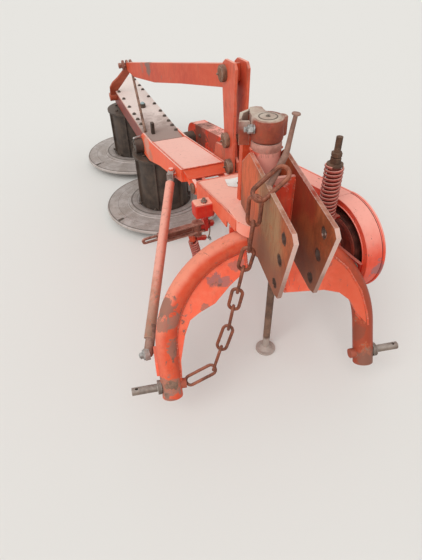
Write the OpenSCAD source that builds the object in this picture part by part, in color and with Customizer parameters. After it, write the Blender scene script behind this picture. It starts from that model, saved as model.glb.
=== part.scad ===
// Two-drum rotary mower on a three-point hitch frame, mower bar swung back to park.
// Full size in mm: X along the lower hitch pins, Y away from the tractor, Z up.

/* [Hitch frame] */
// height of the lower hitch pins
hitch_pin_z = 217; // [200:1:240]
// middle to the shoulder of a lower pin
hitch_half = 412.5; // [405:0.5:425]
// length of a lower pin outside its shoulder
hitch_pin_len = 90; // [80:1:110]
// lower pin diameter
hitch_pin_d = 28; // [26:0.5:30]
// lean of the bent pipe away from the tractor
arch_lean = 25.2; // [23:0.1:27]
// pipe diameter
arch_pipe_d = 73; // [70:1:76]
// axis of a pipe leg inside the shoulder of its pin
leg_inset = 49; // [47:0.5:56]
// axis of the pipe's crown above the lift hinge
crown_rise = 44; // [40:1:45]
// inside gap of the top-link plates
plate_gap = 90; // [86:1:94]
// top-link plate thickness
plate_t = 12; // [10:1:14]
// top-link hole diameter
toplink_hole_d = 26; // [25:0.5:27]

/* [Swing joint] */
// kingpin axis behind the lower pins
king_y = 220; // [216:1:224]
// kingpin diameter
king_d = 48; // [44:1:50]
// parked direction of the mower bar
bar_turn = 9.2; // [8:0.1:10.5]
// outside diameter of the fixed tube
tube_d = 90; // [88:1:90]

/* [Mower bar] */
// kingpin to the lift hinge
hinge_u = 460; // [450:1:470]
// height of the lift hinge
hinge_z = 615; // [611:1:619]
// kingpin to the inner drum
drum_u = 1339; // [1325:1:1350]
// distance between the drums
drum_pitch = 815; // [805:1:825]
// radius of a working disc
disc_r = 370; // [360:1:376]
// radius of a drum
drum_r = 145; // [138:1:150]
// half width of the beam
beam_half = 92; // [88:1:96]
// top of the beam
beam_top = 545; // [540:1:550]
// height of the gearbox shaft
gear_z = 455; // [452:1:460]

/* [Belt drive] */
// side offset of the big pulley
pulley_x = 378; // [374:1:382]
// big pulley from the kingpin
pulley_u = 45; // [40:1:50]
// height of the big pulley
pulley_z = 500; // [495:1:505]
// radius of the pulley housing
housing_r = 190; // [184:1:194]
// side offset of the small pulley
small_x = 252; // [248:1:256]

/* [Hidden] */
$fn = 48;
far_u = drum_u + drum_pitch;
belt_turn = atan2(pulley_x - small_x, drum_u - pulley_u);
belt_len = sqrt(pow(pulley_x - small_x, 2) + pow(drum_u - pulley_u, 2));
// bend radius of the pipe, and its straight legs up to the bend
arch_r = hitch_half - leg_inset;
arch_s = (hinge_z + crown_rise - hitch_pin_z) / cos(arch_lean) - arch_r;
arch_side = arch_r + arch_pipe_d / 2;
plate_out = plate_gap / 2 + plate_t;
far_x = -sin(bar_turn) * far_u;
far_y = king_y + cos(bar_turn) * far_u;
x_min = far_x - disc_r;
x_max = hitch_half + hitch_pin_len;
plate_front = -190;
y_max = far_y + disc_r;
shift_x = -(x_min + x_max) / 2;
shift_y = -(plate_front + y_max) / 2;
red = [0.80, 0.27, 0.17];
pale = [0.86, 0.55, 0.47];
steel = [0.52, 0.50, 0.48];
rust = [0.42, 0.30, 0.22];
dark = [0.20, 0.17, 0.15];

module whole() translate([shift_x, shift_y, 0]) children();
module bar() whole() translate([0, king_y, 0]) rotate([0, 0, bar_turn]) children();
module prof(x0, x1) translate([x0, 0, 0]) rotate([90, 0, 90]) linear_extrude(x1 - x0) children();
module xcyl(x0, x1, y, z, d) translate([x0, y, z]) rotate([0, 90, 0]) cylinder(d = d, h = x1 - x0);
module in_arch() whole() translate([0, 0, hitch_pin_z]) rotate([90 - arch_lean, 0, 0]) children();
module drive() bar() translate([pulley_x, pulley_u, 0]) rotate([0, 0, belt_turn]) children();

// outlines given from the lift hinge, from the kingpin and from the inner drum's shaft
function from_hinge(pts) = [for (p = pts) [hinge_u + p[0], hinge_z + p[1]]];
function from_king(pts) = [for (p = pts) [king_y + p[0], hinge_z + p[1]]];
function from_shaft(pts) = [for (p = pts) [drum_u + p[0], gear_z + p[1]]];
// point of the hitch frame in the bar's frame
function in_bar(p) = [
    p[0] * cos(bar_turn) + (p[1] - king_y) * sin(bar_turn),
    (p[1] - king_y) * cos(bar_turn) - p[0] * sin(bar_turn), p[2]
];

// rod between two points
module rod(a, b, d) {
    v = b - a;
    l = norm(v);
    translate(a)
        rotate([0, acos(v[2] / l), atan2(v[1], v[0])])
            cylinder(d = d, h = l);
}

// coil of round wire climbing along Z
module coil(r, d, pitch, turns, seg = 20, side = 8) {
    n = floor(turns * seg);
    pts = [for (i = [0 : n]) for (j = [0 : side - 1])
        let (a = 360 * i / seg, b = 360 * j / side, q = r + d / 2 * cos(b))
            [q * cos(a), q * sin(a), pitch * i / seg + d / 2 * sin(b)]];
    walls = [for (i = [0 : n - 1]) for (j = [0 : side - 1]) for (t = [0, 1])
        let (p = i * side + j, q = i * side + (j + 1) % side)
            t == 0 ? [p, q, p + side] : [q, q + side, p + side]];
    first = [for (j = [side - 1 : -1 : 0]) j];
    last = [for (j = [0 : side - 1]) n * side + j];
    polyhedron(points = pts, faces = concat(walls, [first], [last]));
}

module arch_ring() {
    translate([0, arch_s, 0])
        rotate_extrude(angle = 180)
            translate([arch_r, 0]) circle(d = arch_pipe_d);
}

module hitch_arch() color(red)
difference() {
    in_arch() {
        arch_ring();
        for (side = [-1, 1])
            translate([side * arch_r, arch_s, 0])
                rotate([90, 0, 0])
                    cylinder(d = arch_pipe_d, h = arch_s + 42);
    }
    whole()
        for (side = [-1, 1])
            translate([side * arch_r, 0, hitch_pin_z])
                rotate([0, 90, 0])
                    cylinder(d = 36, h = 110, center = true);
}

// webs in the plane of the bent pipe: the inner edge is given by hand as distance inside
// the leg's axis and distance up from the pins, the outer edge lies in the pipe
function leg_line(pts) = [for (p = pts) [arch_r - p[0], p[1]]];
function in_pipe(from, to) = [for (a = [from : (to - from) / 4 : to]) [arch_r * cos(a), arch_s + arch_r * sin(a)]];
left_web = concat(
    leg_line([[3.5, 20], [40.5, 8], [45.5, 90], [69.5, 180], [93.5, 232], [130.5, 255], [185.5, 279], [243.5, 335]]),
    [[plate_out - 1, arch_s + 257]], in_pipe(81, 5.5)
);
right_web = concat(
    leg_line([[-2.5, 119], [40.5, 172], [67.5, 226], [104.5, 259], [161.5, 278]]),
    [[plate_out, arch_s + 165]], in_pipe(81, 6.5)
);
// ear for the strut's lower end: y, z
ear_shape = [[24, 262], [40, 300], [112, 290], [140, 276], [152, 250], [138, 226], [110, 216], [22, 250]];
strut_foot = [-arch_side - 34, 130.4, 250];

module arch_webs() color(red) {
    in_arch() {
        mirror([1, 0, 0]) translate([0, 0, -6]) linear_extrude(12) polygon(left_web);
        translate([0, 0, 24]) linear_extrude(12) polygon(right_web);
    }
    whole()
        difference() {
            prof(-arch_side - 9, -arch_side + 5) polygon(ear_shape);
            xcyl(-arch_side - 20, -arch_side + 10, strut_foot[1], strut_foot[2], 22);
        }
}

module hitch_pins() color(rust)
whole()
    for (side = [-1, 1])
        difference() {
            union() {
                translate([side * (hitch_half + hitch_pin_len / 2), 0, hitch_pin_z])
                    rotate([0, 90, 0])
                        cylinder(d = hitch_pin_d, h = hitch_pin_len, center = true);
                translate([side * (hitch_half - 7), 0, hitch_pin_z])
                    rotate([0, 90, 0])
                        cylinder(d = 50, h = 14, center = true);
                translate([side * (arch_r - 7), 0, hitch_pin_z])
                    rotate([0, 90, 0])
                        cylinder(d = 36, h = 92, center = true);
            }
            translate([side * (hitch_half + hitch_pin_len - 18), 0, hitch_pin_z])
                cylinder(d = 12, h = 40, center = true);
        }

plate_shape = concat(
    [for (p = [[62, 77], [0, 299], [18, 316]]) [plate_front + p[0], hinge_z + p[1]]],
    from_king([
        [-24, 348], [48, 290], [48, 141], [-102, 141], [-102, 75],
        [48, 75], [48, 25], [-5, 7], [-60, 25], [-160, 75]
    ]),
    [[plate_front + 90, hinge_z + 69]]
);

module toplink_plates() color(rust)
whole()
    difference() {
        for (side = [-1, 1])
            translate([side * (plate_gap + plate_t) / 2, 0, 0])
                prof(-plate_t / 2, plate_t / 2) polygon(plate_shape);
        for (p = [[62, 273], [74, 199], [94, 107]])
            xcyl(-plate_out - 20, plate_out + 20, plate_front + p[0], hinge_z + p[1], toplink_hole_d);
        translate([0, 0, hitch_pin_z]) rotate([90 - arch_lean, 0, 0]) arch_ring();
    }

module tower_tube() color(red)
whole()
    difference() {
        union() {
            translate([0, king_y, hinge_z + 141]) cylinder(d = tube_d, h = 207);
            translate([-plate_gap / 2, king_y - 136, hinge_z + 79]) cube([plate_gap, 12, 240]);
            translate([-plate_gap / 2, king_y - 124, hinge_z + 185]) cube([plate_gap, 84, 10]);
            translate([0, king_y, hinge_z + 25]) cylinder(d = tube_d - 6, h = 50);
            translate([-100, king_y + 16, hinge_z - 15]) cube([150, 14, 90]);
        }
        translate([0, king_y, hinge_z - 25]) cylinder(d = king_d, h = 400);
        translate([0, 0, hitch_pin_z]) rotate([90 - arch_lean, 0, 0]) arch_ring();
    }

king_top = hinge_z + 439;

module kingpin() color(steel)
whole()
    difference() {
        translate([0, king_y, king_top - 402]) cylinder(d = king_d, h = 402);
        translate([0, king_y, king_top - 5]) cylinder(d = 14, h = 8);
    }

jack_x = 77;
jack_y = king_y + 44;
jack_d = 30;
jack_foot = 470;

module jack_sleeve() color(red)
whole()
    difference() {
        union() {
            translate([jack_x, jack_y, jack_foot]) cylinder(d = jack_d + 14, h = 90);
            translate([jack_x - 29, jack_y - 42, jack_foot]) cube([24, 22, hinge_z + 35 - jack_foot]);
        }
        translate([jack_x, jack_y, jack_foot - 10]) cylinder(d = jack_d + 0.6, h = 120);
    }

module jack_leg() color(rust)
whole()
    translate([jack_x, jack_y, 0]) {
        cylinder(d = 86, h = 8);
        translate([0, 0, 7]) cylinder(d = jack_d, h = jack_foot + 93);
        translate([0, 0, 8]) cylinder(d1 = 60, d2 = 32, h = 14);
    }

// oval link: length along local X, distance between strands, wire, steps of a bend, sides of the wire
module link(l, w, d, steps = 8, side = 10) {
    s = l - w - d;
    rings = [for (e = [1, -1]) for (i = [0 : steps]) [e * s / 2, -90 * e + 180 * i / steps]];
    pts = [for (r = rings) for (j = [0 : side - 1])
        let (b = 360 * j / side, q = w / 2 + d / 2 * cos(b))
            [r[0] + q * cos(r[1]), q * sin(r[1]), d / 2 * sin(b)]];
    n = len(rings);
    walls = [for (i = [0 : n - 1]) for (j = [0 : side - 1]) for (t = [0, 1])
        let (p = i * side + j, q = i * side + (j + 1) % side, m = (i + 1) % n * side)
            t == 0 ? [p, q, m + j] : [q, m + (j + 1) % side, m + j]];
    polyhedron(points = pts, faces = walls);
}

module chain_link(p, q, roll, w, d) {
    v = q - p;
    n = norm(v);
    translate((p + q) / 2)
        rotate([0, acos(v[2] / n) - 90, atan2(v[1], v[0])])
            rotate([roll, 0, 0])
                link(n + d * 2 - 3, w, d);
}

// where each link meets the next: x, y, z, roll
chain_path = [
    [-6, 32, 983, 137], [-94, -6, 938, 35], [-95, 1, 854, 159], [-101, 6, 768, 63],
    [-112, 20, 687, 1], [-124, 25, 601, 80], [-136, 34, 518, 27], [-149, 33, 433, 142],
    [-180, 18, 350, 53], [-208, 4, 266, 142], [57.5 - arch_r, 0, hitch_pin_z + 2, 0]
];

module lift_chain() color(rust)
whole()
    for (i = [0 : len(chain_path) - 2]) {
        a = chain_path[i];
        b = chain_path[i + 1];
        chain_link([a[0], a[1], a[2]], [b[0], b[1], b[2]], a[3], i == 0 ? 38 : 33, i == 0 ? 13 : 11);
    }

module chain_pin() color(rust)
whole() {
    rod([24, 80, 1105], [1, 60, 1011], 14);
    rod([1.6, 61, 1013], [-51, 30, 937], 18);
    rod([23.5, 79.6, 1103], [25.5, 81.4, 1111], 36);
}

// side outline of the arm: u, z
arm_end = hinge_u - 84;
arm_side = [
    [60, hinge_z + 85], [110, hinge_z + 81], [200, hinge_z + 49],
    [arm_end, hinge_z - 3], [arm_end, hinge_z + 73], [60, hinge_z + 119]
];
arm_ear = from_hinge([[-90, -3], [-20, -25], [0, -28], [20, -19], [28, 0], [20, 19], [0, 28], [-90, 35]]);

module arm_box() color(red)
bar() {
    difference() {
        union() {
            for (side = [-1, 1])
                translate([side * (beam_half - 4), 0, 0]) prof(-4, 4) polygon(arm_side);
            prof(-beam_half, beam_half)
                polygon([
                    [60, hinge_z + 111], [arm_end, hinge_z + 65], [arm_end, hinge_z + 73], [60, hinge_z + 119]
                ]);
            prof(-beam_half, beam_half)
                polygon([
                    [arm_end - 10, hinge_z - 1], [arm_end, hinge_z - 3], [arm_end, hinge_z + 69], [arm_end - 10, hinge_z + 69]
                ]);
            translate([0, 0, hinge_z + 85]) cylinder(r = beam_half, h = 44);
            for (side = [-1, 1])
                translate([side * 50, 0, 0]) prof(-8, 8) polygon(arm_ear);
        }
        translate([0, 0, hinge_z + 75]) cylinder(d = king_d + 0.6, h = 70);
        xcyl(-70, 70, hinge_u, hinge_z, 30);
    }
}

module swing_block() color(rust)
bar()
    difference() {
        union() {
            translate([0, 0, king_top - 82]) cylinder(r = 56, h = 78, $fn = 8);
            translate([-86, -34, king_top - 82]) cube([60, 50, 74]);
            translate([-112, -8, king_top - 54]) rotate([0, 90, 0]) cylinder(d = 28, h = 30, $fn = 6);
            translate([48, 22, king_top - 36]) cylinder(d = 34, h = 34);
        }
        translate([0, 0, king_top - 94]) cylinder(d = king_d + 0.6, h = 100);
        translate([-72, -40, king_top - 8]) rotate([-90, 0, 0]) cylinder(d = 36, h = 60);
    }

module swing_strap() color(red)
bar()
    prof(-22, 40)
        polygon([
            [40, king_top - 78], [40, king_top - 14], [118, king_top - 24], [136, king_top - 50],
            [150, hinge_z + 101], [126, hinge_z + 103], [112, king_top - 78]
        ]);

module side_block() color(red)
bar() {
    difference() {
        translate([-beam_half - 64, 198, hinge_z + 33]) cube([68, 46, 42]);
        translate([-beam_half - 58, 190, hinge_z + 25]) cube([56, 48, 42]);
    }
    translate([-beam_half - 30, 214, hinge_z + 61]) cylinder(d = 12, h = 26);
    translate([-beam_half - 30, 214, hinge_z + 73]) cylinder(d = 22, h = 9, $fn = 6);
    xcyl(-beam_half - 60, -beam_half, 222, hinge_z + 45, 16);
}

// side outlines: u, z
yoke_start = hinge_u + 100;
yoke_end = drum_u - 229;
cheek_side = concat(
    [[yoke_start, hinge_z - 17], [hinge_u + 240, hinge_z - 55], [hinge_u + 490, gear_z + 45]],
    from_shaft([[-149, -31], [-29, -43], [31, -37], [51, 0], [31, 45], [-49, 91], [-229, 107]]),
    [[yoke_start, hinge_z + 41]]
);
yoke_ear = from_hinge([
    [108, -9], [108, 33], [20, 28], [-14, 26], [-26, 13], [-29, -3],
    [-22, -19], [-8, -27], [10, -27]
]);

module yoke_box() color(red)
bar() {
    prof(-beam_half, beam_half)
        polygon([[yoke_start, hinge_z + 33], [yoke_end, gear_z + 99], [yoke_end, gear_z + 107], [yoke_start, hinge_z + 41]]);
    prof(-beam_half, beam_half)
        polygon([
            [yoke_start, hinge_z - 19], [yoke_start + 8, hinge_z - 21], [yoke_start + 8, hinge_z + 35], [yoke_start, hinge_z + 37]
        ]);
    prof(-beam_half, beam_half)
        polygon([[yoke_end - 8, gear_z + 45], [yoke_end, gear_z + 45], [yoke_end, gear_z + 103], [yoke_end - 8, gear_z + 103]]);
    for (side = [-1, 1])
        translate([side * 72, 0, 0]) prof(-8, 8) polygon(yoke_ear);
}

strut_top = [-beam_half - 28, hinge_u + 195, hinge_z - 18];

module yoke_cheeks() color(red)
bar()
    difference() {
        union() {
            for (side = [-1, 1])
                translate([side * (beam_half + 5), 0, 0]) prof(-5, 5) polygon(cheek_side);
            translate([strut_top[0], strut_top[1], strut_top[2] - 5]) cylinder(d = 30, h = 10);
            translate([strut_top[0], strut_top[1] - 15, strut_top[2] - 5]) cube([24, 30, 10]);
            translate([strut_top[0], strut_top[1], strut_top[2] - 22]) cylinder(d = 14, h = 44);
            translate([strut_top[0], strut_top[1], strut_top[2] + 18]) cylinder(d = 24, h = 8, $fn = 6);
            translate([beam_half + 8, hinge_u + 172, hinge_z - 67]) cube([183, 44, 44]);
        }
        xcyl(-120, 120, drum_u, gear_z, 47);
    }

module hinge_pin() color(rust)
bar() {
    xcyl(-88, 88, hinge_u, hinge_z, 29.4);
    for (x = [-90, 82])
        xcyl(x, x + 8, hinge_u, hinge_z, 44);
}

mast_side = from_hinge([
    [-28, 35], [-20, 21], [20, 17], [52, 45], [93, 415], [85, 445],
    [60, 461], [-20, 465], [-37, 445], [-26, 135]
]);
mast_pivots = from_hinge([[-5, 71], [30, 168], [64, 412]]);

module mast_plates() color(red)
bar()
    for (x = [88, 136])
        translate([x, 0, 0]) prof(-6, 6) polygon(mast_side);

// lug between the mast plates: u, z
lug_shape = from_hinge([
    [-28, 55], [-15, 41], [102, -11], [230, -39], [240, 7], [212, 85], [136, 101],
    [60, 185], [20, 197], [2, 175], [-8, 107], [-26, 91]
]);

module mast_lug() color(red)
bar()
    prof(100.5, 112) polygon(lug_shape);

module mast_pins() color(rust)
bar()
    for (p = mast_pivots) {
        xcyl(74, 148, p[0], p[1], 30);
        xcyl(64, 82.5, p[0], p[1], 60);
        xcyl(141.5, 156, p[0], p[1], 44);
    }

knuckle = [-10, far_u - 169, beam_top + 185];
bar_near = [112, hinge_u + 64, hinge_z + 412];
bar_len = norm([bar_near[0] - knuckle[0], knuckle[1] - bar_near[1]]);
bar_drop = bar_near[2] - knuckle[2];

module lift_bar() color(red)
bar()
    translate(bar_near)
        rotate([0, 0, atan2(bar_near[0] - knuckle[0], knuckle[1] - bar_near[1])])
            prof(-14, 14)
                polygon([
                    [-40, 40], [bar_len - 26, 21 - bar_drop], [bar_len - 4, 5 - bar_drop], [bar_len - 26, -29 - bar_drop],
                    [bar_len - 166, -33 - bar_drop], [900, -262], [500, -166], [-10, -52], [-44, -20]
                ]);

module bar_knuckle() color(dark)
bar()
    translate(knuckle) {
        xcyl(-48, 36, 0, 0, 30);
        for (x = [-36, -10, 14])
            xcyl(x, x + 12, 0, 0, 60);
        translate([-60, 0, 0]) rotate([0, 90, 0]) cylinder(d = 34, h = 14, $fn = 6);
    }

// brace in its own plane: x, distance down from the knuckle
brace_shape = [
    [4, -14], [10, 60], [-112, 290], [-124, 268], [-126, 180], [-108, 136], [-73, 95], [-25, 20], [-30, -14]
];

module brace_plate() color(red)
bar() {
    translate(knuckle - [0, 0, 3])
        rotate([atan2(-219, 155), 0, 0])
            translate([0, 0, -12])
                linear_extrude(12) polygon(brace_shape);
    xcyl(-beam_half - 46, -beam_half + 4, knuckle[1] + 155, beam_top - 47, 54);
}

module stay_rod() color(rust)
bar()
    rod(knuckle + [18, -3, -10], [6 - beam_half, drum_u - 47, beam_top + 3], 15);

beam_start = drum_u - 179;
beam_end = far_u + 238;
cover_t = 12;

module beam() color(red)
bar()
    difference() {
        prof(-beam_half, beam_half)
            polygon([
                [beam_start, beam_top - 95], [beam_start + 20, beam_top - 115], [beam_end - 42, beam_top - 115],
                [beam_end, beam_top - 75], [beam_end, beam_top - cover_t], [beam_start, beam_top - cover_t]
            ]);
        translate([0, 0, beam_top - 145])
            linear_extrude(200)
                polygon([
                    [-beam_half - 100, beam_end - 163], [-beam_half, beam_end - 163], [-16, beam_end + 1],
                    [-16, beam_end + 100], [-beam_half - 100, beam_end + 100]
                ]);
    }

module beam_cover() color(pale)
bar()
    translate([0, 0, beam_top - cover_t])
        linear_extrude(cover_t)
            polygon([
                [-beam_half - 6, beam_start - 4], [beam_half + 6, beam_start - 4], [beam_half + 6, beam_end + 8],
                [-20, beam_end + 8], [-beam_half - 6, beam_end - 160]
            ]);

module gear_boss() color(steel) {
    bar() {
        xcyl(-150, -beam_half - 8, drum_u, gear_z, 84);
        xcyl(-110, 113, drum_u, gear_z, 47);
    }
    drive()
        difference() {
            xcyl(-140, -guard_w / 2 + 1, belt_len, gear_z, 76);
            xcyl(-136, -guard_w / 2 + 10, belt_len, gear_z, 32);
        }
}

module beam_lug() color(dark)
bar() {
    translate([-58, drum_u - 89, beam_top - 1]) cube([18, 26, 62]);
    translate([0, drum_u + 361, beam_top - 1]) cylinder(d = 36, h = 23);
}

guard_w = 82;
guard_wall = 5;
// where the guard's skin leaves the round housing
guard_start = 30;
idler_y = 640;

// belt guard's side outline, e inside its skin: a straight skin from circle to circle
module guard_side(e) {
    a = acos((housing_r - end_r) / norm([belt_len, gear_z - pulley_z]));
    polygon([
        for (c = [[0, pulley_z, housing_r, 1], [belt_len, gear_z, end_r, 1], [belt_len, gear_z, end_r, -1], [0, pulley_z, housing_r, -1]])
            [c[0] + (c[2] - e) * cos(belt_dir + c[3] * a), c[1] + (c[2] - e) * sin(belt_dir + c[3] * a)]
    ]);
    translate([belt_len, gear_z]) circle(r = end_r - e);
}

// round opening in the left side, around the shaft
module guard_mouth() xcyl(-guard_w / 2 - 5, -guard_w / 2 + guard_wall + 5, 0, pulley_z, (housing_r - 22) * 2, $fn = 96);

module belt_guard() color(red)
drive() {
    difference() {
        prof(-guard_w / 2, guard_w / 2) guard_side(0);
        prof(-guard_w / 2 + guard_wall, guard_w / 2 - guard_wall) guard_side(guard_wall);
        translate([-guard_w, guard_start - 200, pulley_z - 300]) cube([guard_w * 2, 200, 600]);
        guard_mouth();
        xcyl(-80, 20, belt_len, gear_z, 60);
    }
    xcyl(-guard_w / 2 + 4, guard_w / 2 - 4, idler_y, pulley_z - 82, 46);
}

module pulley_housing() color(red)
drive()
    difference() {
        xcyl(-guard_w / 2, guard_w / 2, 0, pulley_z, housing_r * 2, $fn = 96);
        xcyl(-guard_w / 2 + guard_wall, guard_w / 2 - guard_wall, 0, pulley_z, (housing_r - guard_wall) * 2, $fn = 96);
        guard_mouth();
        translate([-guard_w, guard_start - 0.4, pulley_z - 300]) cube([guard_w * 2, 300, 600]);
    }

// belt outline around both pulleys, e outside their rims
belt_dir = atan2(gear_z - pulley_z, belt_len);
big_r = 110;
small_r = 54;
end_r = small_r + 30;
pulley_half = 30;
function belt_path(e) = let (b = acos((big_r - small_r) / norm([belt_len, gear_z - pulley_z])))
    concat(
        [for (i = [0 : 12]) let (a = belt_dir + b - 2 * b * i / 12) [belt_len + (small_r + e) * cos(a), gear_z + (small_r + e) * sin(a)]],
        [for (i = [0 : 20]) let (a = belt_dir - b - (360 - 2 * b) * i / 20) [(big_r + e) * cos(a), pulley_z + (big_r + e) * sin(a)]]
    );

module drive_belts() color(dark)
drive()
    for (x = [-21, -7, 7, 21])
        translate([x, 0, 0])
            difference() {
                prof(-6, 6) polygon(belt_path(12));
                prof(-8, 8) polygon(belt_path(1));
            }

module input_pulley() color(steel)
drive() {
    difference() {
        xcyl(-pulley_half, pulley_half, 0, pulley_z, big_r * 2);
        xcyl(-40, -12, 0, pulley_z, big_r * 2 - 30);
        xcyl(12, 40, 0, pulley_z, big_r * 2 - 30);
    }
    xcyl(-185, -110, 0, pulley_z, 35);
    xcyl(-110, pulley_half, 0, pulley_z, 40);
    xcyl(-pulley_half, pulley_half, 0, pulley_z, 64);
}

module small_pulley() color(steel)
drive() {
    xcyl(-pulley_half, pulley_half, belt_len, gear_z, small_r * 2);
    xcyl(-128, -30, belt_len, gear_z, 31.4);
}

module input_bearing() color(red)
drive()
    difference() {
        union() {
            xcyl(-110, -guard_w / 2 + 6, 0, pulley_z, 92);
            translate([-guard_w / 2 - 11.8, 19 - housing_r, pulley_z - 20]) cube([12, housing_r * 2 - 31, 40]);
        }
        xcyl(-130, -30, 0, pulley_z, 40.6);
    }

spring_at = [-90, 10];
// top of the spring's seat
spring_z = pulley_z + housing_r - 64;

module spring_coil() color(red)
drive()
    translate([spring_at[0], spring_at[1], spring_z + 9.5]) coil(29, 9, 14.6, 13.6);

module spring_rod() color(rust)
drive()
    translate([spring_at[0], spring_at[1], 0]) {
        translate([0, 0, spring_z - 56]) cylinder(d = 22, h = 362);
        translate([0, 0, spring_z + 208]) cylinder(d = 56, h = 7);
        translate([0, 0, spring_z + 214]) cylinder(d = 38, h = 22, $fn = 6);
        translate([0, 0, spring_z + 240]) cylinder(d = 38, h = 14, $fn = 6);
    }

module spring_seat() color(red)
drive()
    translate([spring_at[0], spring_at[1], spring_z - 4]) {
        translate([0, 0, 4]) cylinder(d = 74, h = 6);
        translate([-20, -20, 0]) cube([-spring_at[0] - guard_w / 2 + guard_wall + 20, 160, 8]);
    }

// hanger below the lift hinge: u, z
hanger_shape = from_hinge([
    [108, 25], [108, -19], [70, -55], [56, -165], [46, -223], [20, -243], [-4, -225],
    [-8, -185], [-8, -75], [-14, -25], [-14, 17], [20, 27]
]);

module lever_hanger() color(red)
bar() {
    prof(-36, -22) polygon(hanger_shape);
    for (c = [[-58, -14, 44], [-10, 8, 30], [-20, 14, 18]])
        xcyl(c[0], c[1], hinge_u + 20, hinge_z - 202, c[2]);
}

// frame of the slotted lever: local X out to the left
module lever() bar() translate([-45, hinge_u + 16, hinge_z - 200]) rotate([0, 0, 180 + belt_turn]) children();

module slot_lever() color(rust)
lever() {
    translate([0, -4, -22]) cube([210, 6, 44]);
    translate([0, -4, 18]) cube([214, 26, 5]);
    translate([0, -4, -23]) cube([190, 26, 5]);
    difference() {
        union() {
            translate([190, -4, -14]) cube([80, 8, 28]);
            translate([270, 4, 0]) rotate([90, 0, 0]) cylinder(d = 28, h = 8);
        }
        translate([222, -10, -6]) cube([44, 20, 12]);
        translate([222, 10, 0]) rotate([90, 0, 0]) cylinder(d = 12, h = 20);
        translate([266, 10, 0]) rotate([90, 0, 0]) cylinder(d = 12, h = 20);
    }
    translate([26, 0, -42]) cylinder(d = 44, h = 66);
}

module lever_spring() color(red)
lever()
    translate([26, 0, -138]) {
        translate([0, 0, 4]) coil(19, 7, 12.4, 7.4, 20, 8);
        translate([0, 0, -6]) cylinder(d = 12, h = 104);
        translate([0, 0, -2]) cylinder(d = 46, h = 4);
        translate([0, 0, -14]) cylinder(d = 24, h = 12, $fn = 6);
    }

// drum outline: radius, z
drum_shape = [
    [0, 78], [drum_r + 8, 78], [drum_r, 110], [drum_r, 384], [drum_r + 22, 392], [drum_r + 22, 404],
    [60, 404], [60, 429.7], [0, 429.7]
];
// thin dished disc with its hub: radius, z
disc_shape = [
    [0, 40], [70, 40], [70, 71], [drum_r + 12, 71], [drum_r + 33, 85], [disc_r * 0.57, 85],
    [disc_r * 0.6, 83], [disc_r * 0.62, 71], [disc_r - 62, 69], [disc_r - 9, 63], [disc_r - 7, 54],
    [disc_r - 1, 53], [disc_r, 62], [disc_r - 4, 70], [disc_r - 60, 76], [disc_r * 0.64, 78],
    [disc_r * 0.62, 90], [disc_r * 0.58, 92], [drum_r + 30, 92], [drum_r + 10, 78], [0, 78]
];
skid_shape = [
    [0, 0], [170, 0], [262, 24], [270, 34], [262, 36], [168, 7], [66, 7], [66, 39.7], [0, 39.7]
];

module drum_body() {
    rotate_extrude($fn = 96) polygon(drum_shape);
    for (a = [0 : 60 : 300])
        rotate([0, 0, a]) translate([drum_r - 4, -5, 92]) cube([18, 10, 296]);
}
// swinging knife below the disc, from its pivot
knife_shape = [[-14, -20], [64, -20], [82, -8], [82, 12], [-14, 20]];

module disc_body() {
    rotate_extrude($fn = 120) polygon(disc_shape);
    for (a = [-157.5, -37.5, 82.5])
        rotate([0, 0, a]) translate([disc_r - 56, 0, 0]) {
            rotate([0, 0, -84]) translate([0, 0, 61]) linear_extrude(4.5) polygon(knife_shape);
            translate([0, 0, 55]) cylinder(d = 20, h = 26);
            translate([0, 0, 52]) cylinder(d = 32, h = 6);
        }
}
module skid_body() rotate_extrude($fn = 96) polygon(skid_shape);

module drum_near() color(dark) bar() translate([0, drum_u, 0]) drum_body();
module drum_far() color(dark) bar() translate([0, far_u, 0]) drum_body();
module disc_near() color(steel) bar() translate([0, drum_u, 0]) disc_body();
module disc_far() color(steel) bar() translate([0, far_u, 0]) disc_body();
module skid_near() color(dark) bar() translate([0, drum_u, 0]) skid_body();
module skid_far() color(dark) bar() translate([0, far_u, 0]) skid_body();

strut_low = in_bar(strut_foot);
strut_dir = (strut_low - strut_top) / norm(strut_low - strut_top);

module strut_tube() color(red)
bar()
    rod(strut_top + strut_dir * 52, strut_low - strut_dir * 60, 40);

module strut_ends() color(rust)
bar() {
    difference() {
        translate(strut_top) {
            for (z = [7.5, -17.5])
                translate([0, 0, z]) cylinder(d = 30, h = 10);
            rotate([0, 0, atan2(strut_dir[1], strut_dir[0])]) {
                for (z = [8, -17])
                    translate([3, -13, z]) cube([30, 26, 9]);
                translate([24, -14, -16.4]) cube([17, 28, 32.8]);
            }
        }
        translate([strut_top[0], strut_top[1], strut_top[2] - 30]) cylinder(d = 14.6, h = 60);
    }
    rod(strut_top + strut_dir * 38, strut_top + strut_dir * 70, 24);
    rod(strut_low - strut_dir * 80, strut_low - strut_dir * 16, 26);
    xcyl(strut_low[0] - 10, strut_low[0] + 8, strut_low[1], strut_low[2], 46);
    xcyl(strut_low[0] - 26, strut_low[0] + 14, strut_low[1], strut_low[2], 18);
    xcyl(strut_low[0] - 16, strut_low[0] - 9, strut_low[1], strut_low[2], 36);
}

hitch_arch();
arch_webs();
hitch_pins();
toplink_plates();
tower_tube();
kingpin();
jack_sleeve();
jack_leg();
lift_chain();
chain_pin();
arm_box();
swing_block();
swing_strap();
side_block();
yoke_box();
yoke_cheeks();
hinge_pin();
mast_plates();
mast_lug();
mast_pins();
lift_bar();
bar_knuckle();
brace_plate();
stay_rod();
beam();
beam_cover();
gear_boss();
beam_lug();
belt_guard();
pulley_housing();
drive_belts();
input_bearing();
spring_coil();
spring_rod();
spring_seat();
lever_hanger();
slot_lever();
lever_spring();
input_pulley();
small_pulley();
drum_near();
disc_near();
skid_near();
drum_far();
disc_far();
skid_far();
strut_tube();
strut_ends();
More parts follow.
